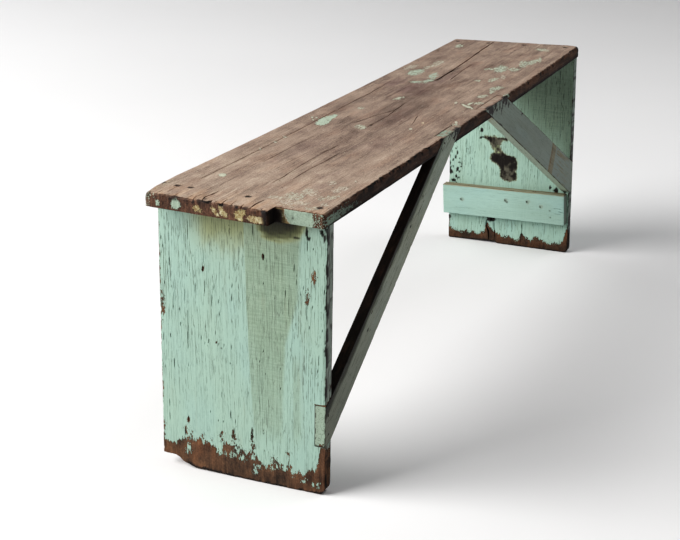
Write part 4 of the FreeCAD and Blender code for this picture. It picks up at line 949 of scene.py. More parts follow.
def leg_solid(x0, x1, shift, cutters):
    top0, top1, foot0, foot1 = FRONT, -FRONT, FRONT + shift, -FRONT + shift
    return carve(prism([(foot0, 0.0), (foot1, 0.0), (top1, 434.0), (top0, 434.0)], 0, x0, x1), cutters)


def leg_planes(shift):
    """Outward directions and distances of the leaning front and back edges."""
    k = shift / 434.0
    L = math.hypot(1, k)
    nb, nf = (0, 1 / L, k / L), (0, -1 / L, -k / L)
    return nf, (-(FRONT + shift)) / L, nb, (-FRONT + shift) / L


def make_near_leg():
    b = Board("near_leg_board_worn", leg_solid(-632.5, -611.5, LEAN, [notch(NB, near_front)]), (0, 0, 1), (0, 1, 0), (-1, 0, 0))
    outer = []
    for i, (y, z1, z0, w) in enumerate(NEAR_SLITS):
        length = max(z1 - z0, 3.2)
        zc = (z1 + z0) / 2
        outer.append(Crack([(zc - length / 2 - 0.6, y + 0.3), (zc + length / 2 + 0.6, y - 0.3)], w * 0.95, 0.9 + 0.35 * w, 100 + i, 0.5, 9.0, taper=min(4.0, length / 2)))
    inner = [Crack([(20, 60), (180, 56), (330, 60)], 1.6, 3.0, 301, 1.2, 40), Crack([(120, -40), (300, -44), (430, -40)], 1.4, 2.5, 302, 1.2, 40),
             Crack([(0, 10), (70, 12)], 2.0, 4.0, 303, 1.0, 20), Crack([(200, 100), (300, 103)], 1.2, 1.5, 304, 0.8, 20)]
    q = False
    b.mesh_up(3.2 if not q else 8, 1.8 if not q else 4, 4.0, outer, inner, back_coarse=3.4)
    X, Y, Z = b.O.T
    nf, df, nb, db = leg_planes(LEAN)
    up = (0, 0, 1)
    wv = lambda s, seed, o=3: fbm(Z / s, 0.2, 0.6, seed, o)
    # foot corners in the board's own plane, then the arrises
    b.roll(nf, df, (0, 0, -1), 0.0, 15.0)
    for m, d, seed in ((nf, df, 401), (nb, db, 411)):
        chip = np.clip(vnoise(Z / 9.0, 0.3, 0.1, seed + 3) - 0.35, 0, 1) * 4.5
        b.roll(m, d, (-1, 0, 0), 632.5, 1.5 + 0.7 * wv(16, seed) + chip)
        b.roll(m, d, (1, 0, 0), -611.5, 1.5 + 0.6 * wv(18, seed + 1))
    b.roll((0, 0, -1), 0.0, (-1, 0, 0), 632.5, 2.2 + 1.2 * fbm(Y / 9, 0.2, 0.4, 421, 3))
    b.roll((0, 0, -1), 0.0, (1, 0, 0), -611.5, 1.8)
    b.roll(up, 434.0, (-1, 0, 0), 632.5, 0.9)
    b.roll(up, 434.0, (1, 0, 0), -611.5, 0.9)
    # the broken back corner of the foot and the uneven bottom
    lift = interp_edge(Y, [(-160, 0.8), (-113, 0.6), (-64, 0), (-12, 0.0), (15, 0.0), (53, 0.9), (88, 1.8), (98, 4.6), (110, 8.6), (116, 14.5), (123, 17.5), (137, 17.5), (150, 18.5)])
    lift = lift + np.clip(fbm(Y / 5.0, X / 8.0, 0.3, 431, 2), -0.3, 1) * 0.8
    b.P[:, 2] += np.maximum(lift, 0) * smooth(60, 0, Z)
    N = b.normals()
    face = np.abs(N[:, 0]) > 0.7
    h = np.where(face, 0.22 * fbm(Y / 2.6, Z / 60.0, 0.4, 441, 2) + 0.45 * fbm(Y / 60, Z / 160, 0.4, 442, 2) - 0.3, 0)
    h = np.where(np.abs(N[:, 1]) > 0.7, 0.5 * fbm(X / 4.0, Z / 26.0, 0.4, 443, 3) - 0.3, h)
    # paint
    edge_z = interp_edge(Y, NEAR_EDGE)
    low = Z - edge_z + 1.4 * vnoise(Y / 2.1, Z / 5.0, 0.3, 451)
    paint = np.clip(low * 0.8, -12, 12)
    for cy, cz, ry, rz in NEAR_ISLANDS:
        paint = np.maximum(paint, -ellipse_distance(Y, Z, cy, cz, ry, rz) + 0.9)
    for cy, cz, ry, rz in NEAR_BARE:
        paint = np.minimum(paint, ellipse_distance(Y, Z, cy, cz, ry, rz) - 0.3)
    a_front, a_back = df - b.O @ np.array(nf), db - b.O @ np.array(nb)
    wearw = 0.7 + 1.8 * np.clip(fbm(Z / 17.0, 0.7, 0.2, 461, 3), -0.2, 1)
    wearb = 0.9 + 2.6 * np.clip(fbm(Z / 13.0, 0.7, 0.2, 463, 3), -0.2, 1) + 3.0 * smooth(70, 10, Z) + 2.0 * np.exp(-((Z - 268) / 12) ** 2)
    near_edge_d = np.minimum(np.where(a_front < 8, a_front - wearw, 9), np.where(a_back < 8, a_back - wearb, 9))
    outer_face = b.side > 0
    paint = np.where(outer_face, np.minimum(paint, near_edge_d * 1.2), paint)
    inner_low = Z - (26 + 9 * fbm(Y / 9.0, 0.3, 0.3, 471, 3))
    paint = np.where(b.side < 0, np.clip(inner_low, -12, 12), paint)
    strip = np.abs(N[:, 1]) > 0.6
    strip_p = np.clip(3.2 + 5 * fbm(X / 5.0, Z / 22.0, 0.2, 473, 3) - 10 * smooth(90, 60, Z) * (Y < 0), -12, 12)
    paint = np.where(strip, strip_p, paint)
    paint = np.where((N[:, 2] < -0.5) | (Z < 0.5), -12, paint)
    # the film stands a little proud of the bare wood
    h = h + np.where(face, 0.16 * smooth(-3.0, 3.0, paint) - 0.08, 0)
    b.P += h[:, None] * N
    b.open_cracks()
    # how ragged the paint's limit is
    rag = 3.0 + 11.0 * smooth(86, 66, Z) + 3.0 * smooth(14, 6, a_back)
    # stains and rubbed zones; the dark olive under the seat's overhang is partly stain and partly painted shade
    zl = np.interp(Z, [88, 170, 299, 409, 440], [-16.5, -10.5, -6.0, -4.5, -4.0])
    zr = np.interp(Z, [85, 97, 170, 238, 314, 438], [-64, -63, -66, -70, -91, -95])
    zone = smooth(zl + 0.7, zl - 0.7, Y) * smooth(zr - 4.0, zr + 4.0, Y) * smooth(66, 100, Z)
    zone2 = smooth(-80, -84, Y) * smooth(-98, -90, Y) * smooth(60, 110, Z) * smooth(240, 200, Z) * 0.45
    fade = 0.92 + 0.2 * fbm(Y / 30, Z / 70, 0.2, 481, 2)
    zone = np.clip(zone * fade * np.interp(Z, [60, 140, 260, 430], [0.45, 0.65, 1.0, 1.0]) + zone2, 0, 1) * outer_face
    low_of = interp_edge(Y, [(-125, 431), (-100, 425), (-95, 415), (-90, 412), (-46, 407), (-34, 410), (-18, 420), (-6, 428)]) + 5.0 * fbm(Y / 16, Z / 3.2, 0.3, 483, 3)
    stain = 0.53 * smooth(112, 52, Y + 8 * fbm(Y / 16, Z / 22, 0.3, 487, 2)) * smooth(-6.5, -3.5, Y) * smooth(340, 412, Z + 14 * fbm(Y / 16, Z / 22, 0.3, 485, 2))
    stain = np.maximum(stain, 0.30 * smooth(-3.5, -6.5, Y) * smooth(-96, -70, Y) * smooth(362, 405, Z))
    # dark olive under the seat's overhang: partly stain, partly painted shade
    stain = np.maximum(stain, 1.12 * smooth(low_of - 24.0, low_of + 12.0, Z) * smooth(-6, -44, Y) * (1 - 0.45 * smooth(-62, -112, Y)) * smooth(-122, -98, Y))
    stain = np.clip(stain, 0, 1) * outer_face
    # darkening: soft along the front arris, broken dashes on it, painted shade under the seat, dirt at the very bottom
    dark = b.attr["dark"]
    dash = smooth(-0.12, 0.12, fbm(Z / 7.5, 0.1, 0.2, 493, 3))
    soft = 0.22 * smooth(10.0, 1.5, a_front) * smooth(150, 170, Z)
    broad_dash = smooth(-0.22, 0.05, fbm(Z / 10.0, 0.1, 0.2, 493, 3))
    line_w = np.clip(1.6 + 2.8 * fbm(Z / 14.0, 0.1, 0.2, 493, 2) + 2.0 * fbm(Z / 4.0, 0.1, 0.2, 492, 2), 0.7, 6.0)
    arris = 0.95 * smooth(line_w + 0.7, line_w - 0.7, a_front) * smooth(145, 165, Z)
    corner = 0.9 * np.maximum.reduce([smooth(1.25, 0.75, np.hypot((Y - cy) / ry, (Z - cz) / rz) + 0.5 * fbm(Y / 2.4, Z / 2.4, 0.3, 490, 2))
                                      for cy, cz, ry, rz in ((-105.6, 421, 2.0, 8.0), (-108.5, 412, 3.2, 3.0), (-129, 424, 3.4, 5.0), (-133.5, 416, 2.0, 7.0), (-90, 410.5, 5.5, 1.4), (-136, 429, 3.0, 4.0))])
    # painted shade under the seat's overhang, at the top of the outer face
    under_seat_shade = 0.62 * smooth(414, 432, Z + 3 * fbm(Y / 12, Z / 3, 0.3, 489, 2)) * smooth(-34, -50, Y) * smooth(-112, -72, Y) + 0.25 * smooth(424, 434, Z)
    foot_dirt = 0.95 * smooth(4.6, 0.8, Z - np.maximum(lift, 0) + 5.0 * fbm(Y / 4.0, 0.1, 0.6, 495, 3)) * smooth(112, 96, Y)
    from_face = X + 632.5
    on_strip = (a_front < 1.5) & (from_face > 0.2)
    inner_line = 0.9 * smooth(3.6, 1.8, 21.0 - from_face + 1.0 * fbm(Z / 9.0, 0.6, 0.2, 496, 2)) * on_strip
    inner_line = np.maximum(inner_line, 0.9 * smooth(7.0, 4.0, from_face + 4.0 * fbm(Z / 12.0, 0.6, 0.2, 498, 3)) * on_strip * broad_dash)
    inner_line = np.maximum(inner_line, 0.45 * smooth(-0.08, 0.32, fbm(Z / 24.0, X / 1.6, 0.2, 500, 2)) * on_strip)
    inner_line = np.maximum(inner_line, 0.7 * smooth(0.12, 0.34, fbm(Z / 11.0, X / 6.0, 0.2, 502, 3) + 0.25 * smooth(400, 430, Z)) * on_strip)
    # bits scraped off in one place
    scr = (np.abs(Y - 45) < 17) & (np.abs(Z - 220) < 7)
    bits = np.where(scr, 0.8 * smooth(0.22, 0.42, fbm(Y / 4.2, Z / 1.5, 0.3, 497, 2)), 0)
    dark[:] = np.clip(dark + np.maximum.reduce([soft, arris, corner, under_seat_shade, foot_dirt]) * outer_face + inner_line + 0.8 * bits * outer_face
                      + 0.5 * smooth(5, 0.5, Z) * (b.side < 0), 0, 1)
    ch = fbm(Y / 6.0, Z / 34.0, 0.1, 499, 3)
    shade = smooth(40, 4, Z + 6 * fbm(Y / 20, 0.2, 0.2, 491, 2)) * 0.22 + np.clip(ch - 0.02, 0, 1) * 1.5
    warm = smooth(30, 70, Y) * (0.36 + 0.7 * np.clip(fbm(Y / 9, Z / 16, 0.2, 503, 2), -0.6, 0.6)) + 0.35 * smooth(-60, -95, Y)
    warm += 0.2 * ((np.abs(Y + 112) < 12) & (np.abs(Z - 338) < 30))
    b.attr["calm"] = np.clip(0.40 * smooth(250, 110, Z + 30 * fbm(Y / 30, Z / 60, 0.2, 506, 2)) * smooth(-40, 40, Y) + 0.25 * zone, 0, 0.7) * outer_face
    rag = rag + 6.0 * ((np.abs(Y + 112) < 14) & (np.abs(Z - 338) < 34)) + 6.0 * ((Y > 128) & (np.abs(Z - 267) < 40))
    b.attr.update(paint=paint, rag=rag, gray=0.9 * strip, zone=zone, stain=stain, brown=0.15 * np.clip(fbm(Y / 7, Z / 60, 0.4, 505, 3) - 0.25, 0, 1) * 2,
                  warm=np.clip(warm, 0, 1), shade=np.clip(shade, 0, 1))
    return b.finish("near_leg_board", paint_material("near_leg_old_paint", (0, 0, 1), (0, 1, 0), (1, 0, 0)))


def make_far_leg():
    b = Board("far_leg_board_worn", leg_solid(635.0, 656.0, -LEAN, [notch(FB, far_front)]), (0, 0, 1), (0, 1, 0), (-1, 0, 0))
    inner = [Crack([(2, 38), (24, 38), (40, 44), (54, 44)], 5.0, 5.0, 501, 0.8, 12, taper=10), Crack([(8, 23), (30, 25), (52, 27)], 3.0, 3.0, 502, 0.8, 12, taper=10),
             Crack([(6, -36.5), (27, -37), (40, -40), (60, -39)], 2.2, 4.0, 503, 0.8, 12, taper=10),
             Crack([(52, 33), (62, 33)], 6.0, 5.0, 504, 0.4, 12, taper=5)]
    for i, (y, z1, z0, w) in enumerate([(121, 230, 226, 3), (118, 219, 215, 3), (121, 197, 191, 4), (109, 183, 179, 3), (114, 171, 164, 4), (119, 164, 157, 3.4), (133, 157, 150, 4),
                                        (135, 181, 171, 3), (124, 144, 136, 4), (117, 150, 145, 3), (130, 174, 168, 3), (116, 144, 140, 3), (76, 212, 206, 2), (101, 126, 120, 2),
                                        (-63, 170, 165, 1.6), (91, 158, 154, 1.8), (62, 265, 259, 4), (-112, 145, 132, 2), (-118, 146, 136, 2), (-107, 143, 138, 2),
                                        (96, 238, 205, 1.1), (70, 300, 262, 1.0), (84, 180, 150, 1.0), (58, 170, 140, 1.0), (-48, 230, 190, 1.0), (-70, 200, 160, 1.0),
                                        (40, 330, 280, 1.0), (10, 400, 340, 1.0), (-40, 420, 350, 1.0), (-80, 380, 300, 1.0), (-110, 410, 360, 1.0)]):
        L = max(z1 - z0, 3.2)
        zc = (z1 + z0) / 2
        inner.append(Crack([(zc - L / 2 - 0.6, y + 0.3), (zc + L / 2 + 0.6, y - 0.3)], w * 0.95, 1.0 + 0.3 * w, 520 + i, 0.5, 9.0, taper=min(4.0, L / 2)))
    outer = [Crack([(0, 40), (60, 42), (120, 39)], 2.2, 4.0, 551, 1.0, 30), Crack([(60, -60), (250, -64), (434, -60)], 1.4, 2.5, 552, 1.2, 40),
             Crack([(150, 84), (330, 80), (434, 83)], 1.5, 2.5, 553, 1.2, 40)]
    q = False
    b.mesh_up(3.2 if not q else 8, 2.0 if not q else 4, 4.0, inner, outer, back_coarse=3.4)
    X, Y, Z = b.O.T
    nf, df, nb, db = leg_planes(-LEAN)
    wv = lambda s, seed, o=3: fbm(Z / s, 0.2, 0.6, seed, o)
    b.roll(nf, df, (0, 0, -1), 0.0, 10.0)
    b.roll(nb, db, (0, 0, -1), 0.0, 4.0)
    for m, d, seed in ((nf, df, 601), (nb, db, 611)):
        chip = np.clip(vnoise(Z / 8.0, 0.3, 0.1, seed + 3) - 0.35, 0, 1) * 4.0
        b.roll(m, d, (-1, 0, 0), -635.0, 1.4 + 0.6 * wv(16, seed) + chip)
        b.roll(m, d, (1, 0, 0), 656.0, 1.5 + 0.6 * wv(18, seed + 1))
    b.roll((0, 0, -1), 0.0, (-1, 0, 0), -635.0, 2.0 + 1.0 * fbm(Y / 9, 0.2, 0.4, 621, 3))
    b.roll((0, 0, -1), 0.0, (1, 0, 0), 656.0, 1.8)
    b.roll((0, 0, 1), 434.0, (-1, 0, 0), -635.0, 0.9)
    b.roll((0, 0, 1), 434.0, (1, 0, 0), 656.0, 0.9)
    lift = interp_edge(Y, [(-150, 0.0), (-78, 0.0), (10, 0.0), (18, 0.5), (24, 4.0), (44, 4.2), (60, 3.2), (90, 2.2), (135, 0.4)]) + np.clip(fbm(Y / 5.0, X / 8.0, 0.3, 631, 2), -0.3, 1) * 0.6
    b.P[:, 2] += np.maximum(lift, 0) * smooth(40, 0, Z)
    N = b.normals()
    face = np.abs(N[:, 0]) > 0.7
    h = np.where(face, 0.22 * fbm(Y / 2.8, Z / 60.0, 0.4, 641, 2) + 0.4 * fbm(Y / 60, Z / 160, 0.4, 642, 2) - 0.3, 0)
    h = np.where(np.abs(N[:, 1]) > 0.7, 0.5 * fbm(X / 4.0, Z / 26.0, 0.4, 643, 3) - 0.3, h)
    edge_pts = [(150, 34), (132, 28), (123, 23), (112, 19), (102, 16), (92, 23), (84, 16), (76, 22), (65, 13), (55, 22), (48, 24), (46, 42), (43, 48), (36, 40), (30, 31), (17, 25),
                (9, 20), (-1, 20), (-11, 22), (-24, 12), (-34, 18), (-38, 35), (-44, 28), (-60, 17), (-72, 29), (-85, 23), (-100, 15), (-112, 19), (-127, 19), (-134, 25), (-138, 43), (-146, 70)]
    paint = np.clip((Z - interp_edge(Y, edge_pts) + 1.4 * vnoise(Y / 2.1, Z / 5.0, 0.3, 651)) * 0.8, -12, 12)
    seven = polygon_distance(Y, Z, [(52, 250), (25, 248), (3, 248), (4, 244), (17, 243), (19, 235), (20, 225), (14, 214), (5, 209), (-6, 206), (-17, 205), (-22, 192), (-18, 176), (-22, 162), (-21, 155),
                                    (-4, 151), (4, 153), (14, 158), (14, 171), (16, 183), (31, 192), (39, 199), (37, 206), (30, 213), (33, 224), (43, 240), (54, 245)])
    seven = seven + 3.4 * fbm(Y / 4.6, Z / 4.6, 0.3, 653, 3) + 2.2 * smooth(240, 244, Z) * smooth(-0.1, 0.3, fbm(Y / 5.0, Z / 5.0, 0.3, 654, 2))
    paint = np.minimum(paint, seven * 0.8 - 1.3)
    for cy, cz, ry, rz in [(23, 45, 3, 3), (25, 34, 2.4, 3), (52, 40, 2, 4), (29, 221, 2.6, 3.6), (24, 228, 1.8, 2.4), (33, 209, 2.2, 2.8), (21, 214, 2.0, 2.0), (10, 203, 1.6, 2.0)]:
        paint = np.maximum(paint, -ellipse_distance(Y, Z, cy, cz, ry, rz) + 0.6)
    fleck = np.zeros(len(X))
    for cy, cz, ry, rz in [(62, 262, 3.4, 3.4), (121, 194, 2.2, 3.2), (116, 166, 2.0, 4.4), (131, 158, 3.2, 4.6), (125, 138, 4.6, 2.8), (135, 178, 2.0, 4.6), (118, 205, 1.5, 4), (-114, 140, 4, 5),
                           (33, 57, 8.5, 5.0), (127, 186, 2.0, 2.2), (113, 182, 1.8, 2.2), (138, 148, 3, 4), (122, 214, 1.6, 2), (131, 68, 3, 5), (134, 50, 4, 4), (108, 172, 2, 1.6),
                           (-133, 150, 4, 12), (-100, 146, 2.5, 3), (111, 160, 1.4, 2.4), (119, 149, 1.8, 3.4), (134, 168, 1.8, 3), (126, 172, 1.4, 2.4), (136, 194, 1.4, 4), (129, 222, 1.2, 3),
                           (135, 236, 1.4, 5), (112, 192, 1.2, 2), (106, 178, 1.2, 2), (113, 145, 3.0, 1.4), (136, 134, 3, 3), (124, 128, 1.6, 5), (118, 132, 1.2, 4), (130, 206, 1.2, 2),
                           (64, 244, 3.4, 1.4), (58, 246, 4.0, 1.8)]:
        q = np.hypot((Y - cy) / ry, (Z - cz) / rz) + 0.45 * fbm(Y / 3.5, Z / 3.5, 0.3, 655, 2)
        fleck = np.maximum(fleck, smooth(1.45, 1.05, q))
    a_front, a_back = df - b.O @ np.array(nf), db - b.O @ np.array(nb)
    wearw = 0.7 + 1.8 * np.clip(fbm(Z / 17.0, 0.7, 0.2, 661, 3), -0.2, 1)
    wearb = 0.8 + 2.2 * np.clip(fbm(Z / 13.0, 0.7, 0.2, 663, 3), -0.2, 1)
    edge_d = np.minimum(np.where(a_front < 8, a_front - wearw, 9), np.where(a_back < 8, a_back - wearb, 9))
    inner_face = b.side > 0
    paint = np.where(inner_face, np.minimum(paint, edge_d * 1.2), paint)
    paint = np.where(b.side < 0, np.clip(Z - (24 + 9 * fbm(Y / 9.0, 0.3, 0.3, 671, 3)), -12, 12), paint)
    paint = np.where(np.abs(N[:, 1]) > 0.6, np.clip(3.0 + 5 * fbm(X / 5.0, Z / 22.0, 0.2, 673, 3) - 12 * smooth(60, 30, Z), -12, 12), paint)
    paint = np.where((N[:, 2] < -0.5) | (Z < 0.5), -12, paint)
    h = h + np.where(face, 0.16 * smooth(-3.0, 3.0, paint) - 0.08, 0)
    b.P += h[:, None] * N
    b.open_cracks()
    # painted shadow of the seat over the upper front of the inner face; it feeds the sage zone and the dark attribute
    shaded = smooth(215, 395, Z - 0.75 * Y + 14 * fbm(Y / 30, Z / 40, 0.2, 682, 2)) * smooth(20, -30, Y)
    zone = np.clip(0.25 * fbm(Y / 30, Z / 70, 0.2, 681, 2) + shaded, 0, 1) * inner_face
    rag = 3.0 + 9.0 * smooth(74, 50, Z) + 4.0 * smooth(10, 4, seven) + 3.0 * smooth(14, 6, a_back)
    strip = np.abs(N[:, 1]) > 0.6
    dash = smooth(-0.15, 0.15, fbm(Z / 8.0, 0.1, 0.2, 687, 3))
    shade = np.clip(0.45 * smooth(60, 40, Z) + smooth(26, 4, Z) * 0.3 + smooth(3, -3, seven) * (0.45 + 0.8 * fbm(Y / 9, Z / 9, 0.3, 683, 2)), 0, 1)
    cloud = fbm(Y / 5.5, Z / 6.5, 0.3, 685, 3)
    hollow = smooth(26, 8, np.hypot((Y - 26) / 0.8, Z - 229)) * 0.7 + smooth(20, 6, np.hypot(Y + 2, Z - 163)) * 0.6
    mottle = inner_face * smooth(4.0, -1.5, seven + 3.0 * fbm(Y / 4, Z / 4, 0.3, 686, 2)) * np.clip(0.86 + 1.2 * cloud - 0.75 * hollow + 0.7 * np.exp(-((Y - 8) / 20) ** 2 - ((Z - 203) / 9) ** 2), 0.12, 1)
    dark = b.attr["dark"]
    # in dark: 0.40 * shaded is the painted seat shadow, the term below Z 84 is painted shade beneath the cleat, and the
    # front edge strip (Y < 0) is darkened, partly as painted shade
    dark[:] = np.clip(dark + 0.40 * shaded * inner_face + 0.14 * smooth(84, 60, Z) * inner_face + 0.8 * smooth(4.5, 0.5, Z + 2.4 * fbm(Y / 4.0, 0.1, 0.6, 689, 3)) + mottle + 0.95 * fleck * inner_face + 0.8 * smooth(2.4, 0.8, a_back) * dash * inner_face
                      + 0.75 * strip * (Y < 0) * (0.6 + 0.5 * dash), 0, 1)
    warm = np.clip(0.30 + 0.9 * fbm(Y / 12, Z / 12, 0.2, 691, 2), 0, 0.7) * smooth(70, 50, Z)
    b.attr["ash"] = smooth(12, 4, seven) * smooth(100, 130, Z)
    b.attr.update(paint=paint, rag=rag, gray=0.5 * strip, zone=zone, stain=0.5 * smooth(6.0, 0.0, seven) * inner_face * smooth(100, 130, Z), brown=0.15 * np.clip(fbm(Y / 7, Z / 60, 0.4, 693, 3) - 0.25, 0, 1) * 2,
                  warm=warm, shade=shade)
    return b.finish("far_leg_board", paint_material("far_leg_old_paint", (0, 0, 1), (0, 1, 0), (1, 0, 0), (148, 178, 164), 0.85))


# ------------------------------------------------------------------ braces and cleat
def make_brace(name, poly, front, lean, node, ang, seed):
    g = Vector((math.cos(ang), 0, math.sin(ang)))
    c = Vector((-math.sin(ang), 0, math.cos(ang)))
    bm = prism(poly, 1, front, lambda p: front(p) + 18.0)
    k = lean / 434.0
    L = math.hypot(1, k)
    nf = Vector((0, -1 / L, -k / L))
    b = Board(name, bm, g, c, nf)
    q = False
    b.mesh_up(2.6 if not q else 6, 1.6 if not q else 4, 3.0, fine=(0.4, 1.0, 1.9, 3.2))
    X, Y, Z = b.O.T
    s, t = b.O @ np.array(g), b.O @ np.array(c)
    nfa = np.array(nf)
    df = -(FRONT + lean) / L
    depth = df - b.O @ nfa           # 0 on the front face, 18 on the back
    n = len(poly)
    area = sum(poly[i][0] * poly[(i + 1) % n][1] - poly[(i + 1) % n][0] * poly[i][1] for i in range(n))
    sgn = 1 if area > 0 else -1
    edge_d = np.full(len(X), 99.0)
    for i in range(n):
        a0, a1 = Vector(poly[i]), Vector(poly[(i + 1) % n])
        e = (a1 - a0).normalized()
        no = np.array([e.y * sgn, 0, -e.x * sgn])
        d = no @ np.array([a0.x, 0, a0.y])
        far = d - b.O @ no
        seg = (b.O @ np.array([e.x, 0, e.y]) - (e.x * a0.x + e.y * a0.y)) / (a1 - a0).length
        here = (seg > -0.02) & (seg < 1.02)
        edge_d = np.minimum(edge_d, np.where(here, np.abs(far), 99))
        long_one = (a1 - a0).length > 100
        r = (1.3 + 0.6 * fbm(s / 14.0, 0.2, 0.4, seed + i, 3)) * (1 - 0.8 * smooth(440, 450, Z)) + (np.clip(vnoise(s / 9.0, 0.2, 0.4, seed + 30 + i) - 0.4, 0, 1) * 4 if long_one else 0)
        b.roll(no, d, nfa, df, r, where=here)
        b.roll(no, d, -nfa, 18.0 - df, 0.15 if no[2] > 0.9 else 1.2, where=here)
    N = b.normals()
    faceish = np.abs(N @ nfa) > 0.7
    h = np.where(faceish, 0.2 * fbm(s / 50.0, t / 2.4, 0.3, seed + 50, 2) - 0.2, 0.3 * fbm(s / 30.0, depth / 3.0, 0.3, seed + 51, 3) - 0.2)
    near = name.startswith("near")
    front_face, up_face, low_face = N @ nfa > 0.6, N @ np.array(c) > 0.6, N @ np.array(c) < -0.6
    top_end = (N[:, 2] > 0.9) & (Z > 450)
    foot_end = (np.abs(N[:, 0]) > 0.9) if near else ((np.abs(N[:, 0]) > 0.9) | ((N[:, 2] < -0.95) & (Z < 150)))
    paint = np.clip(8 - 9 * np.clip(fbm(s / 26.0, t / 5.0, depth / 5.0, seed + 52, 3) - (0.34 if near else 0.5), 0, 1) * 3, -12, 12)
    wear = 0.6 + 2.0 * np.clip(fbm(s / 15.0, 0.7, 0.2, seed + 53, 3), -0.1, 1)
    on_arris = np.minimum(edge_d, 50) + np.minimum(depth, 18 - depth)
    paint = np.minimum(paint, (on_arris - wear) * 1.4)
    dark = b.attr.setdefault("dark", np.zeros(len(X)))
    # splintered head: fibres broken to different lengths and dark gaps between them
    head = smooth(426, 454, Z)
    fibre = vnoise(t / 1.7, depth / 2.2, 0.5, seed + 60)
    fib2 = vnoise(t / 5.0, depth / 5.0, 0.5, seed + 61)
    drop = np.clip(fibre + 0.5 * fib2 - 0.05, 0, 1.2) * (2.4 if near else 1.0) * smooth(446, 456.2, Z)
    b.P += h[:, None] * N
    b.P -= drop[:, None] * np.array(g) * (1 if g.z > 0 else -1)
    gap = np.clip(vnoise(t / 1.6, s / 14.0, depth / 6.0, seed + 62) + 0.35 * fib2 - 0.28, 0, 1) * 3.0 * head
    dark[:] = gap + 0.6 * np.clip(drop / 5, 0, 1) * smooth(452.0, 456.0, Z)
    streaky = fbm(s / 22.0, depth / 2.6, 0.3, seed + 70, 3)
    rag = np.full(len(X), 2.5)
    shade = np.clip(0.35 + 0.4 * fbm(s / 30, t / 9, 0.3, seed + 64, 2), 0, 1)
    zone = np.clip(0.2 + 0.3 * fbm(s / 60, t / 14, 0.2, seed + 63, 2), 0, 1)
    gray, brown, warm, stain = np.zeros(len(X)), np.zeros(len(X)), np.zeros(len(X)), np.zeros(len(X))
    upper_gap = np.full(len(X), 99.0)     # distance below the upper arris, on the front face
    lower_gap = np.full(len(X), 99.0)
    for i in range(n):
        a0, a1 = Vector(poly[i]), Vector(poly[(i + 1) % n])
        e = (a1 - a0).normalized()
        no = np.array([e.y * sgn, 0, -e.x * sgn])
        if (a1 - a0).length < 100:
            continue
        far = no @ np.array([a0.x, 0, a0.y]) - b.O @ no
        if no @ np.array(c) > 0:
            upper_gap = np.abs(far)
        else:
            lower_gap = np.abs(far)
    if near:
        # dirt and painted shade on the upper surface, which the seat and leg shade, and over its front arris
        paint = np.where(up_face, -12 + 6.5 * np.clip(fbm(s / 18.0, depth / 4.0, 0.3, seed + 71, 3), 0, 1), paint)
        dirt_and_shade = np.where(up_face, 0.74 + 0.45 * streaky, 0)
        band = 2.8 + 3.0 * fbm(s / 19.0, 0.4, 0.4, seed + 72, 3) + 2.4 * np.clip(vnoise(s / 11.0, 0.2, 0.1, seed + 73) - 0.3, 0, 1)
        dirt_and_shade = np.maximum(dirt_and_shade, np.where(front_face, 0.9 * smooth(band + 1.2, band - 1.0, upper_gap), 0))
        dirt_and_shade = np.maximum(dirt_and_shade, np.where(front_face, 0.40 * smooth(340, 120, Z), 0))
        dirt_and_shade = np.maximum(dirt_and_shade, np.where(front_face, 0.7 * smooth(1.6, 0.6, lower_gap) * smooth(-0.1, 0.2, fbm(s / 9.0, 0.3, 0.1, seed + 74, 2)), 0))
        gray = np.where(front_face, smooth(330, 470, Z) * 0.35, 0)
        stain = np.where(front_face, 0.95 * smooth(20, 2, upper_gap + 11 * fbm(s / 44.0, t / 14.0, 0.4, seed + 85, 3)) * smooth(60, 130, Z), 0)
        for px, pz, ra, rb in ((193.9, 218.2, 3.2, 2.2), (365.0, 339.7, 3.6, 2.0), (416.4, 378.1, 2.2, 1.6)):
            du, dv = (X - (px - X0)) * g.x + (Z - pz) * g.z, (X - (px - X0)) * c.x + (Z - pz) * c.z
            dirt_and_shade = np.maximum(dirt_and_shade, np.where(front_face, 0.95 * smooth(1.35, 0.8, np.hypot(du / ra, dv / rb)), 0))
        # foot end, flush with the leg
        outline = smooth(2.0, 0.7, on_arris - 0.6) * smooth(-0.1, 0.2, fbm(Y / 5.0, Z / 5.0, 0.3, seed + 75, 2))
        dirt_and_shade = np.where(foot_end, 0.95 * outline + 0.9 * smooth(86, 81, Z), dirt_and_shade)
        paint = np.where(foot_end, np.clip(2.5 + 7 * smooth(84, 100, Z) - 4 * smooth(0.0, 0.5, fbm(Y / 5.0, Z / 5.0, 0.7, seed + 76, 2)), -12, 12), paint)
        warm = np.where(foot_end, 0.7 * smooth(112, 98, Z), warm)
        gray = np.where(foot_end, 1.0, gray)
        zone = np.where(foot_end, 0.0, zone)
        stain = np.where(foot_end, 0.0, stain)
        paint = np.where(low_face, np.clip(1.0 + 8 * fbm(s / 25.0, depth / 5.0, 0.3, seed + 77, 3), -12, 12), paint)
    else:
        paint = np.where(up_face, np.clip(-3 + 7 * fbm(s / 25.0, depth / 5.0, 0.3, seed + 77, 3), -12, 12), paint)
        dirt_and_shade = np.where(up_face, 0.45 + 0.5 * streaky, 0)
        dirt_and_shade = np.maximum(dirt_and_shade, np.where(front_face, 0.7 * smooth(2.0, 0.8, upper_gap) * smooth(-0.15, 0.2, fbm(s / 12.0, 0.3, 0.1, seed + 74, 2)), 0))
        dirt_and_shade = np.maximum(dirt_and_shade, np.where(front_face | low_face, 0.38 * smooth(2.2, 0.9, lower_gap + np.minimum(depth, 9.0)) * smooth(-0.3, 0.05, fbm(s / 10.0, 0.3, 0.1, seed + 75, 2)) * (0.3 + 0.7 * smooth(960, 860, X + X0)), 0))
        dirt_and_shade = np.maximum(dirt_and_shade, np.where(low_face, 0.10, 0))
        gray = np.where(low_face, 0.95, 0.0)
        s_here = lambda xx, zz: (xx - X0) * g.x + zz * g.z
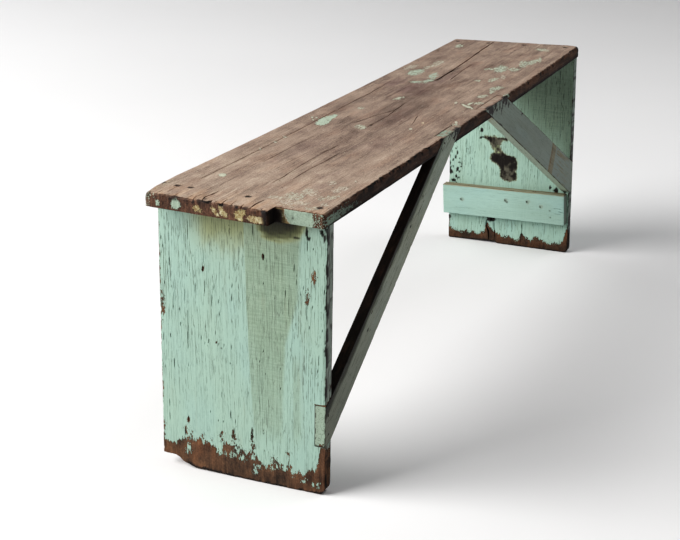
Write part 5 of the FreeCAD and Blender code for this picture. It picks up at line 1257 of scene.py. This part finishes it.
        # a brown stain right across, wood showing through beyond it
        s1, s2 = s_here(1148, 252), s_here(1180, 247)
        bar = smooth(s1 - 5, s1 + 1, s + 3 * fbm(t / 9, 0.2, 0.1, seed + 78, 2)) * smooth(s2 + 4, s2 - 3, s + 3 * fbm(t / 9, 0.7, 0.1, seed + 79, 2))
        brown = np.where(front_face, bar * (0.72 + 0.28 * smooth(s1 + 14, s1 + 3, s)) + smooth(s2, s2 + 20, s) * smooth(s2 + 150, s2 + 60, s) * 0.8 * smooth(0.0, 0.35, fbm(s / 40, t / 3.0, 0.3, seed + 80, 3)), 0)
        dirt_and_shade = np.maximum(dirt_and_shade, np.where(front_face, 0.5 * smooth(3.0, 1.2, np.abs(s - s1 - 3 + 2 * fbm(t / 9, 0.2, 0.1, seed + 87, 2))) * smooth(-0.4, 0.0, fbm(t / 8, 0.2, 0.1, seed + 89, 2)), 0))
        brown = np.where(low_face, smooth(400, 440, Z) * smooth(0.0, 0.4, fbm(s / 12, depth / 4, 0.3, seed + 81, 2)), brown)
        dirt_and_shade = np.maximum(dirt_and_shade, np.where(front_face, 0.9 * smooth(1.3, 0.7, np.hypot((X - (816 - X0)) / 9.0, (Z - 407 + 0.53 * (X - (816 - X0))) / 2.0)), 0))
    # ends let into the seat: raw wood, with paint in places
    paint = np.where(top_end, -12, paint)
    warm = np.where(top_end, 0.15, warm)
    shade = np.where(top_end, np.clip(0.2 + 0.5 * fibre, 0, 0.8), shade)
    lo, hi = ((520.0, 556.0) if near else (735.0, 765.0))
    d = (0.5 if near else -0.5) + 12 * fbm(X / 6.0, Y / 2.5, 0.4, seed + 82, 3) - 6 * smooth(0, 6, np.maximum(lo - X0 - X, X - hi + X0))
    live = top_end & (d > 0)
    raw_front = smooth(5.0, 2.0, depth + 2.5 * fbm(s / 4.0, t / 4.0, 0.3, seed + 84, 2))
    brown = np.where(top_end, np.where(live, 0.0, 1.0), brown)
    gray = np.where(top_end, 1.0, gray)
    paint = np.where(top_end, 9.0, paint)
    rag = np.where(top_end, 2.0, rag)
    if near:
        stain = np.where(top_end, 0.0, stain)
    else:
        stain = np.where(top_end, np.clip(0.50 + 0.5 * fbm(s / 14.0, t / 4.0, 0.3, seed + 90, 3) + 0.3 * raw_front, 0.4, 1), 0.0)
        gray, brown = np.where(top_end, 0.0, gray), np.where(top_end, 0.0, brown)
    xe = X + X0
    ragged = np.zeros(len(X))
    spots = ((566, 452, 5, 6), (577, 449, 7, 9), (589, 446, 7, 8), (560, 444, 3, 5), (584, 437, 4, 7)) if near else \
            ((752, 450, 9, 7), (764, 447, 5, 9), (742, 455, 7, 3), (844, 448, 8, 9), (832, 452, 7, 5), (816, 434, 2.4, 6), (806, 446, 3, 7), (790, 442, 5, 3), (946, 399, 5, 2.4), (780, 451, 6, 5), (858, 438, 4, 5), (822, 446, 3, 8))
    for cx, cz, rx, rz in spots:
        ragged = np.maximum(ragged, smooth(1.3, 0.95, np.hypot((xe - cx) / rx, (Z - cz) / rz) + 0.8 * fbm(X / 2.6, Z / 4.6, 0.3, seed + 88, 2)))
    ragged = ragged * smooth(9.0, 3.0, depth)
    dirt_and_shade = np.where(top_end, 0.35 * raw_front, dirt_and_shade)
    dirt_and_shade = np.maximum(dirt_and_shade, 0.97 * ragged * (top_end | front_face))
    junction = np.where(front_face & (Z > 432), 0.55, np.where(top_end & (depth > 14), 0.12, 0.0)) * smooth(2.2, 0.9, on_arris - 0.6 + 1.6 * fbm(s / 5.0, t / 5.0, 0.3, seed + 83, 2)) * (edge_d < 6)
    dark[:] = np.clip(dark * np.where(top_end, 0.3, 0.6) + dirt_and_shade + junction * 0.8, 0, 1)
    b.attr.update(paint=np.clip(paint, -12, 12), rag=rag, gray=np.clip(gray, 0, 1), zone=zone, stain=stain, brown=np.clip(brown, 0, 1), warm=warm, shade=np.clip(shade, 0, 1))
    if near:
        mat = paint_material(f"{name}_old_paint", tuple(g), tuple(c), (0, 1, 0), (148, 156, 142), 0.8, (138, 156, 139), ((158, 134, 118), (122, 100, 87)),
                             ((104, 112, 96), (78, 84, 66), (52, 54, 40), (34, 34, 26)))
    else:
        mat = paint_material(f"{name}_old_paint", tuple(g), tuple(c), (0, 1, 0), (124, 138, 129), 0.45, (136, 148, 130), ((128, 108, 66), (98, 82, 50)),
                             ((172, 150, 133), (156, 132, 116), (134, 110, 96), (84, 62, 50)))
    return b.finish(node, mat)


def make_cleat():
    k = 3.8 / 282.0
    y0, y1 = -142.0, 140.0
    poly = [(y0, 68.8), (y1, 65.0), (y1, 132.8), (y0, 136.6)]
    bm = prism(poly, 0, 614.7, 635.0)
    g = Vector((0, 1, -k)).normalized()
    c = Vector((0, k, 1)).normalized()
    b = Board("far_leg_cleat_worn", bm, g, c, (-1, 0, 0))
    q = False
    face = [Crack([(-138, 104), (-118, 104)], 1.4, 1.2, 701, 0.5, 8, taper=5), Crack([(-137, 91.5), (-119, 92)], 1.4, 1.2, 702, 0.5, 8, taper=5),
            Crack([(-141, 97), (-128, 97.5)], 1.8, 2.0, 703, 0.5, 8, taper=5), Crack([(60, 84), (110, 83)], 0.9, 0.7, 704, 0.5, 14, taper=10)]
    b.mesh_up(2.6 if not q else 6, 1.6 if not q else 4, 3.5, face, (), fine=(0.4, 1.0, 1.9, 3.2))
    X, Y, Z = b.O.T
    s, t = b.O @ np.array(g), b.O @ np.array(c)
    ca, ga = np.array(c), np.array(g)
    tt, tb = float(t.max()), float(t.min())
    wob = fbm(Y / 14.0, 0.2, 0.4, 711, 3)
    b.roll(ca, tt, (-1, 0, 0), -614.7, 1.8 + 0.8 * wob)
    b.roll(-ca, -tb, (-1, 0, 0), -614.7, 1.2 + 0.5 * wob)
    for no, d in (((0, -1, 0), -y0), ((0, 1, 0), y1)):
        b.roll(no, d, (-1, 0, 0), -614.7, 1.6)
        b.roll(no, d, ca, tt, 2.2)
        b.roll(no, d, -ca, -tb, 1.8)
    N = b.normals()
    h = np.where(N[:, 0] < -0.7, 0.12 * fbm(Y / 70.0, Z / 3.0, 0.4, 721, 2) - 0.1, 0.3 * fbm(Y / 18.0, X / 4.0, Z / 4.0, 722, 3) - 0.2)
    b.P += h[:, None] * N
    b.open_cracks()
    b.P[:, 1] += 3.5 * (Z - 65.0) / 70.0
    top = N[:, 2] > 0.55
    rust, spot = np.zeros(len(X)), np.zeros(len(X))
    for ny, nz in CLEAT_NAILS:
        d = dent(b.P, (-1, 0, 0), (614.7, ny, nz), 4.5, 0.5)
        rust = np.maximum(rust, smooth(7.0, 2.5, d + 2.0 * fbm(Y / 4, Z / 4, 0.3, 725, 2)))
        spot = np.maximum(spot, smooth(2.6, 1.4, np.hypot(Y - ny, (Z - nz) * 0.8) + 30 * (X > 616)))
    for ny, nz, r in ((-11, 107, 3.0), (-109, 99, 2.2), (-110, 84, 2.2)):
        spot = np.maximum(spot, 0.7 * smooth(r + 1.0, r * 0.5, np.hypot(Y - ny, Z - nz) + 30 * (X > 616)))
    paint = np.full(len(X), 9.0)
    arris = tt - t + np.clip(X - 614.7, 0, 50)
    on_top = smooth(2.4, 0.6, tt - t + 1.0 * fbm(Y / 12.0, 0.3, 0.3, 731, 3))
    tan = np.where(top, 1.0, on_top)
    paint = np.minimum(paint, np.where(top, 3 + 6 * fbm(Y / 20.0, X / 5.0, 0.3, 733, 3), 9))
    ends = smooth(5.0, 0.5, np.minimum(np.abs(Y - y0), np.abs(Y - y1)))
    # the front end (Y < 0) is darkened as painted shade; a dark line follows the lower arris
    b.attr["dark"] = np.clip(b.attr["dark"] * 0.7 + rust * 0.16 + spot * 0.9 + 0.35 * ends * (Y < 0) + 0.5 * smooth(2.0, 0.6, t - tb) * smooth(-0.1, 0.3, fbm(Y / 9, 0.3, 0.2, 735, 2)), 0, 1)
    b.attr.update(paint=np.clip(paint, -12, 12), rag=np.full(len(X), 3.0), gray=0.8 * (N[:, 1] < -0.6), zone=np.clip(0.15 + 0.3 * fbm(Y / 50, Z / 20, 0.2, 741, 2), 0, 1),
                  brown=np.clip(tan + 0.35 * rust, 0, 1), warm=np.full(len(X), 0.4), shade=np.zeros(len(X)), stain=np.zeros(len(X)))
    mat = paint_material("cleat_old_paint", tuple(g), tuple(c), (1, 0, 0), (145, 175, 165), 0.3, (112, 124, 110), ((138, 124, 98), (100, 84, 62)))
    return b.finish("far_leg_cleat", mat)


# ------------------------------------------------------------------ nails
def nail_mesh(bm, place, into, across, head=(6.5, 4.6), length=42.0, seed=0):
    """A cut nail: hammered rectangular head and a shank that tapers on two sides. place is the middle of the head's face."""
    rng = np.random.default_rng(seed)
    into, across = Vector(into).normalized(), Vector(across).normalized()
    other = into.cross(across)
    rings = []
    profile = [(0.25, 0.80), (0.0, 0.55)]
    n = 24

    def ring(depth, hx, hy, power, jitter):
        out = []
        for i in range(n):
            a = 2 * math.pi * (i + 0.5) / n
            ca, sa = math.cos(a), math.sin(a)
            r = (abs(ca) ** power + abs(sa) ** power) ** (-1 / power)
            j = 1 + jitter * rng.uniform(-1, 1)
            p = Vector(place) + into * (depth + jitter * rng.uniform(-0.4, 0.4)) + across * (ca * r * hx * j) + other * (sa * r * hy * j)
            out.append(bm.verts.new(p))
        return out

    hx, hy = head[0] / 2, head[1] / 2
    tilt = rng.uniform(-0.12, 0.12)
    specs = [(0.00, 0.25, 0.25, 3, 0.03), (0.02, 0.6, 0.6, 4, 0.03), (0.18, 0.86, 0.86, 5, 0.04), (0.55, 1.0, 1.0, 6, 0.04), (1.1, 1.0, 1.0, 6, 0.03),
             (1.45, 0.75, 0.8, 6, 0.02), (1.8, 0.5, 0.55, 6, 0.01)]
    for d, kx, ky, pw, jt in specs:
        rings.append(ring(d, hx * kx, hy * ky, pw, jt))
    for i in range(1, 8):
        f = i / 7
        rings.append(ring(1.8 + (length - 1.8) * f, 1.5 * (1 - 0.72 * f), 1.15, 6, 0.01))
    cap0 = bm.verts.new(Vector(place) - into * 0.02)
    cap1 = bm.verts.new(Vector(place) + into * (length + 0.1))
    faces = []
    for r0, r1 in zip(rings[:-1], rings[1:]):
        for i in range(n):
            j = (i + 1) % n
            faces.append(bm.faces.new((r0[i], r0[j], r1[j], r1[i])))
    for i in range(n):
        j = (i + 1) % n
        faces.append(bm.faces.new((cap0, rings[0][j], rings[0][i])))
        faces.append(bm.faces.new((cap1, rings[-1][i], rings[-1][j])))
    return faces


def make_nails(node, items, material):
    """items: (place, into, across). One mesh of separate nails for one CAD node, warped as the boards are."""
    bm = bmesh.new()
    for i, (place, into, across) in enumerate(items):
        nail_mesh(bm, place, into, across, seed=hash_name(node) + i)
    bmesh.ops.recalc_face_normals(bm, faces=bm.faces[:])
    for v in bm.verts:
        z = float(warp_z(v.co.x, v.co.y, v.co.z))
        v.co = Vector((v.co.x, v.co.y, z)) * 0.001
    ob = to_object(bm, node + "_worn")
    ob.data.polygons.foreach_set("use_smooth", [True] * len(ob.data.polygons))
    ob.data.set_sharp_from_angle(angle=math.radians(50))
    ob.data.materials.append(material)
    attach(ob, "root")
    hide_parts(node)
    return ob


def hash_name(s):
    return sum((i + 1) * ord(ch) for i, ch in enumerate(s)) % 100000


# ------------------------------------------------------------------ build
make_seat()
make_near_leg()
make_far_leg()
make_brace("near_brace_worn", NB, near_front, LEAN, "near_brace", math.atan(0.677), 801)
make_brace("far_brace_worn", FB, far_front, -LEAN, "far_brace", math.atan(-0.531), 901)
make_cleat()

iron = nail_material()
make_nails("nails_seat_to_near_leg", [((a, y, SEAT_TOP - 1.0), (0, 0, -1), (0, 1, 0)) for a, y in SEAT_NEAR_NAILS], iron)
make_nails("nails_seat_to_far_leg", [((a, y, SEAT_TOP - 1.0), (0, 0, -1), (0, 1, 0)) for a, y in SEAT_FAR_NAILS], iron)
nfd = lambda z, s: FRONT + s * LEAN * (1 - z / 434.0)
make_nails("nails_near_brace_head", [((a - X0, nfd(z, 1) + 0.1, z), (0, 1, 0), (1, 0, 0)) for a, z in ((512, 446), (554, 445))], iron)
make_nails("nails_near_brace_foot", [((a, nfd(z, 1) + 0.1, z), (0, 1, 0), (0, 0, 1)) for a, z in ((-621, 101), (-623, 132))], iron)
make_nails("nails_far_brace_head", [((a - X0, nfd(z, -1) + 0.1, z), (0, 1, 0), (1, 0, 0)) for a, z in ((776, 445.5), (830, 446))], iron)
make_nails("nails_far_brace_foot", [((a, nfd(z, -1) + 0.1, z), (0, 1, 0), (0, 0, 1)) for a, z in ((645.5, 158), (646.5, 188))], iron)
make_nails("nails_cleat", [((614.7 + 0.5, y, z), (1, 0, 0), (0, 0, 1)) for y, z in CLEAT_NAILS], nail_material("nail_painted_over", 0.8))


# ------------------------------------------------------------------ floor, light, camera
def make_floor():
    """A pale seamless sweep: flat under and far round the bench, rising behind it."""
    bm = bmesh.new()
    yaw = 0.41743924
    fx, fy = math.cos(yaw), math.sin(yaw)
    prof = [(-6.0, 0.0), (0.0, 0.0), (4.6, 0.0)]
    for i in range(1, 17):
        a = math.pi / 2 * i / 16
        prof.append((4.6 + 3.0 * math.sin(a), 3.0 * (1 - math.cos(a))))
    prof.append((7.6, 7.0))
    rows = []
    for d, z in prof:
        row = []
        for w in np.linspace(-8, 8, 9):
            row.append(bm.verts.new((fx * d - fy * w, fy * d + fx * w, z)))
        rows.append(row)
    for r0, r1 in zip(rows[:-1], rows[1:]):
        for i in range(8):
            bm.faces.new((r0[i], r0[i + 1], r1[i + 1], r1[i]))
    ob = to_object(bm, "floor_sweep")
    ob.data.polygons.foreach_set("use_smooth", [True] * len(ob.data.polygons))
    k = Nodes("pale_paper")
    n = k.noise(k.pos, (900, 900, 900), 2, 0.5)
    k.done(k.mix(n, srgb(236, 236, 237), srgb(231, 231, 232)), 0.85, k.bump(n, 0.02, 0.001), 0.1)
    ob.data.materials.append(k.mat)


make_floor()


def area(name, loc, target, size, power, color=(1, 1, 1), size_y=None):
    d = bpy.data.lights.new(name, "AREA")
    d.energy, d.color = power, color
    d.shape = "RECTANGLE" if size_y else "SQUARE"
    d.size = size
    if size_y:
        d.size_y = size_y
    o = bpy.data.objects.new(name, d)
    o.location = loc
    o.rotation_euler = (Vector(target) - Vector(loc)).to_track_quat("-Z", "Y").to_euler()
    bpy.context.scene.collection.objects.link(o)
    return o


area("key_window", (-2.9, 3.35, 3.1), (0.0, 0.0, 0.3), 3.9, 502.0, (1.0, 0.99, 0.97))
area("overhead", (1.2, -1.6, 3.2), (1.2, -1.6, 0.0), 2.0, 36.0, (1.0, 1.0, 1.0))
area("backdrop_left", (2.0, 4.0, 2.8), (3.0, 3.4, 0.0), 2.6, 50.0, (1.0, 1.0, 1.0))

world = bpy.data.worlds.new("studio")
bpy.context.scene.world = world
world.use_nodes = True
bg = world.node_tree.nodes["Background"]
bg.inputs[0].default_value = (1.0, 1.0, 1.0, 1.0)
bg.inputs[1].default_value = 0.125

cam_data = bpy.data.cameras.new("photo_view")
cam_data.lens, cam_data.sensor_width, cam_data.clip_end = 81.608, 36.0, 60.0
cam = bpy.data.objects.new("photo_view", cam_data)
bpy.context.scene.collection.objects.link(cam)
yaw, pitch, roll = 0.41743924, 0.33589108, 0.00270939
fw = Vector((math.cos(pitch) * math.cos(yaw), math.cos(pitch) * math.sin(yaw), -math.sin(pitch)))
rt = fw.cross(Vector((0, 0, 1))).normalized()
up = rt.cross(fw)
r = math.cos(roll) * rt + math.sin(roll) * up
u = -math.sin(roll) * rt + math.cos(roll) * up
mat = Matrix((r, u, -fw)).transposed().to_4x4()
mat.translation = Vector((-2.5286363, -0.9987302, 1.0892490))
cam.matrix_world = mat
bpy.context.scene.camera = cam
view = bpy.context.scene.view_settings
view.view_transform = "Standard"
# a little more contrast in the shadows, as the picture has
view.use_curve_mapping = True
curve = view.curve_mapping.curves[3]
for px, py in ((0.012, 0.005), (0.035, 0.021), (0.08, 0.060), (0.15, 0.130), (0.26, 0.248), (0.5, 0.5)):
    curve.points.new(px, py)
view.curve_mapping.update()

bpy.context.view_layer.update()
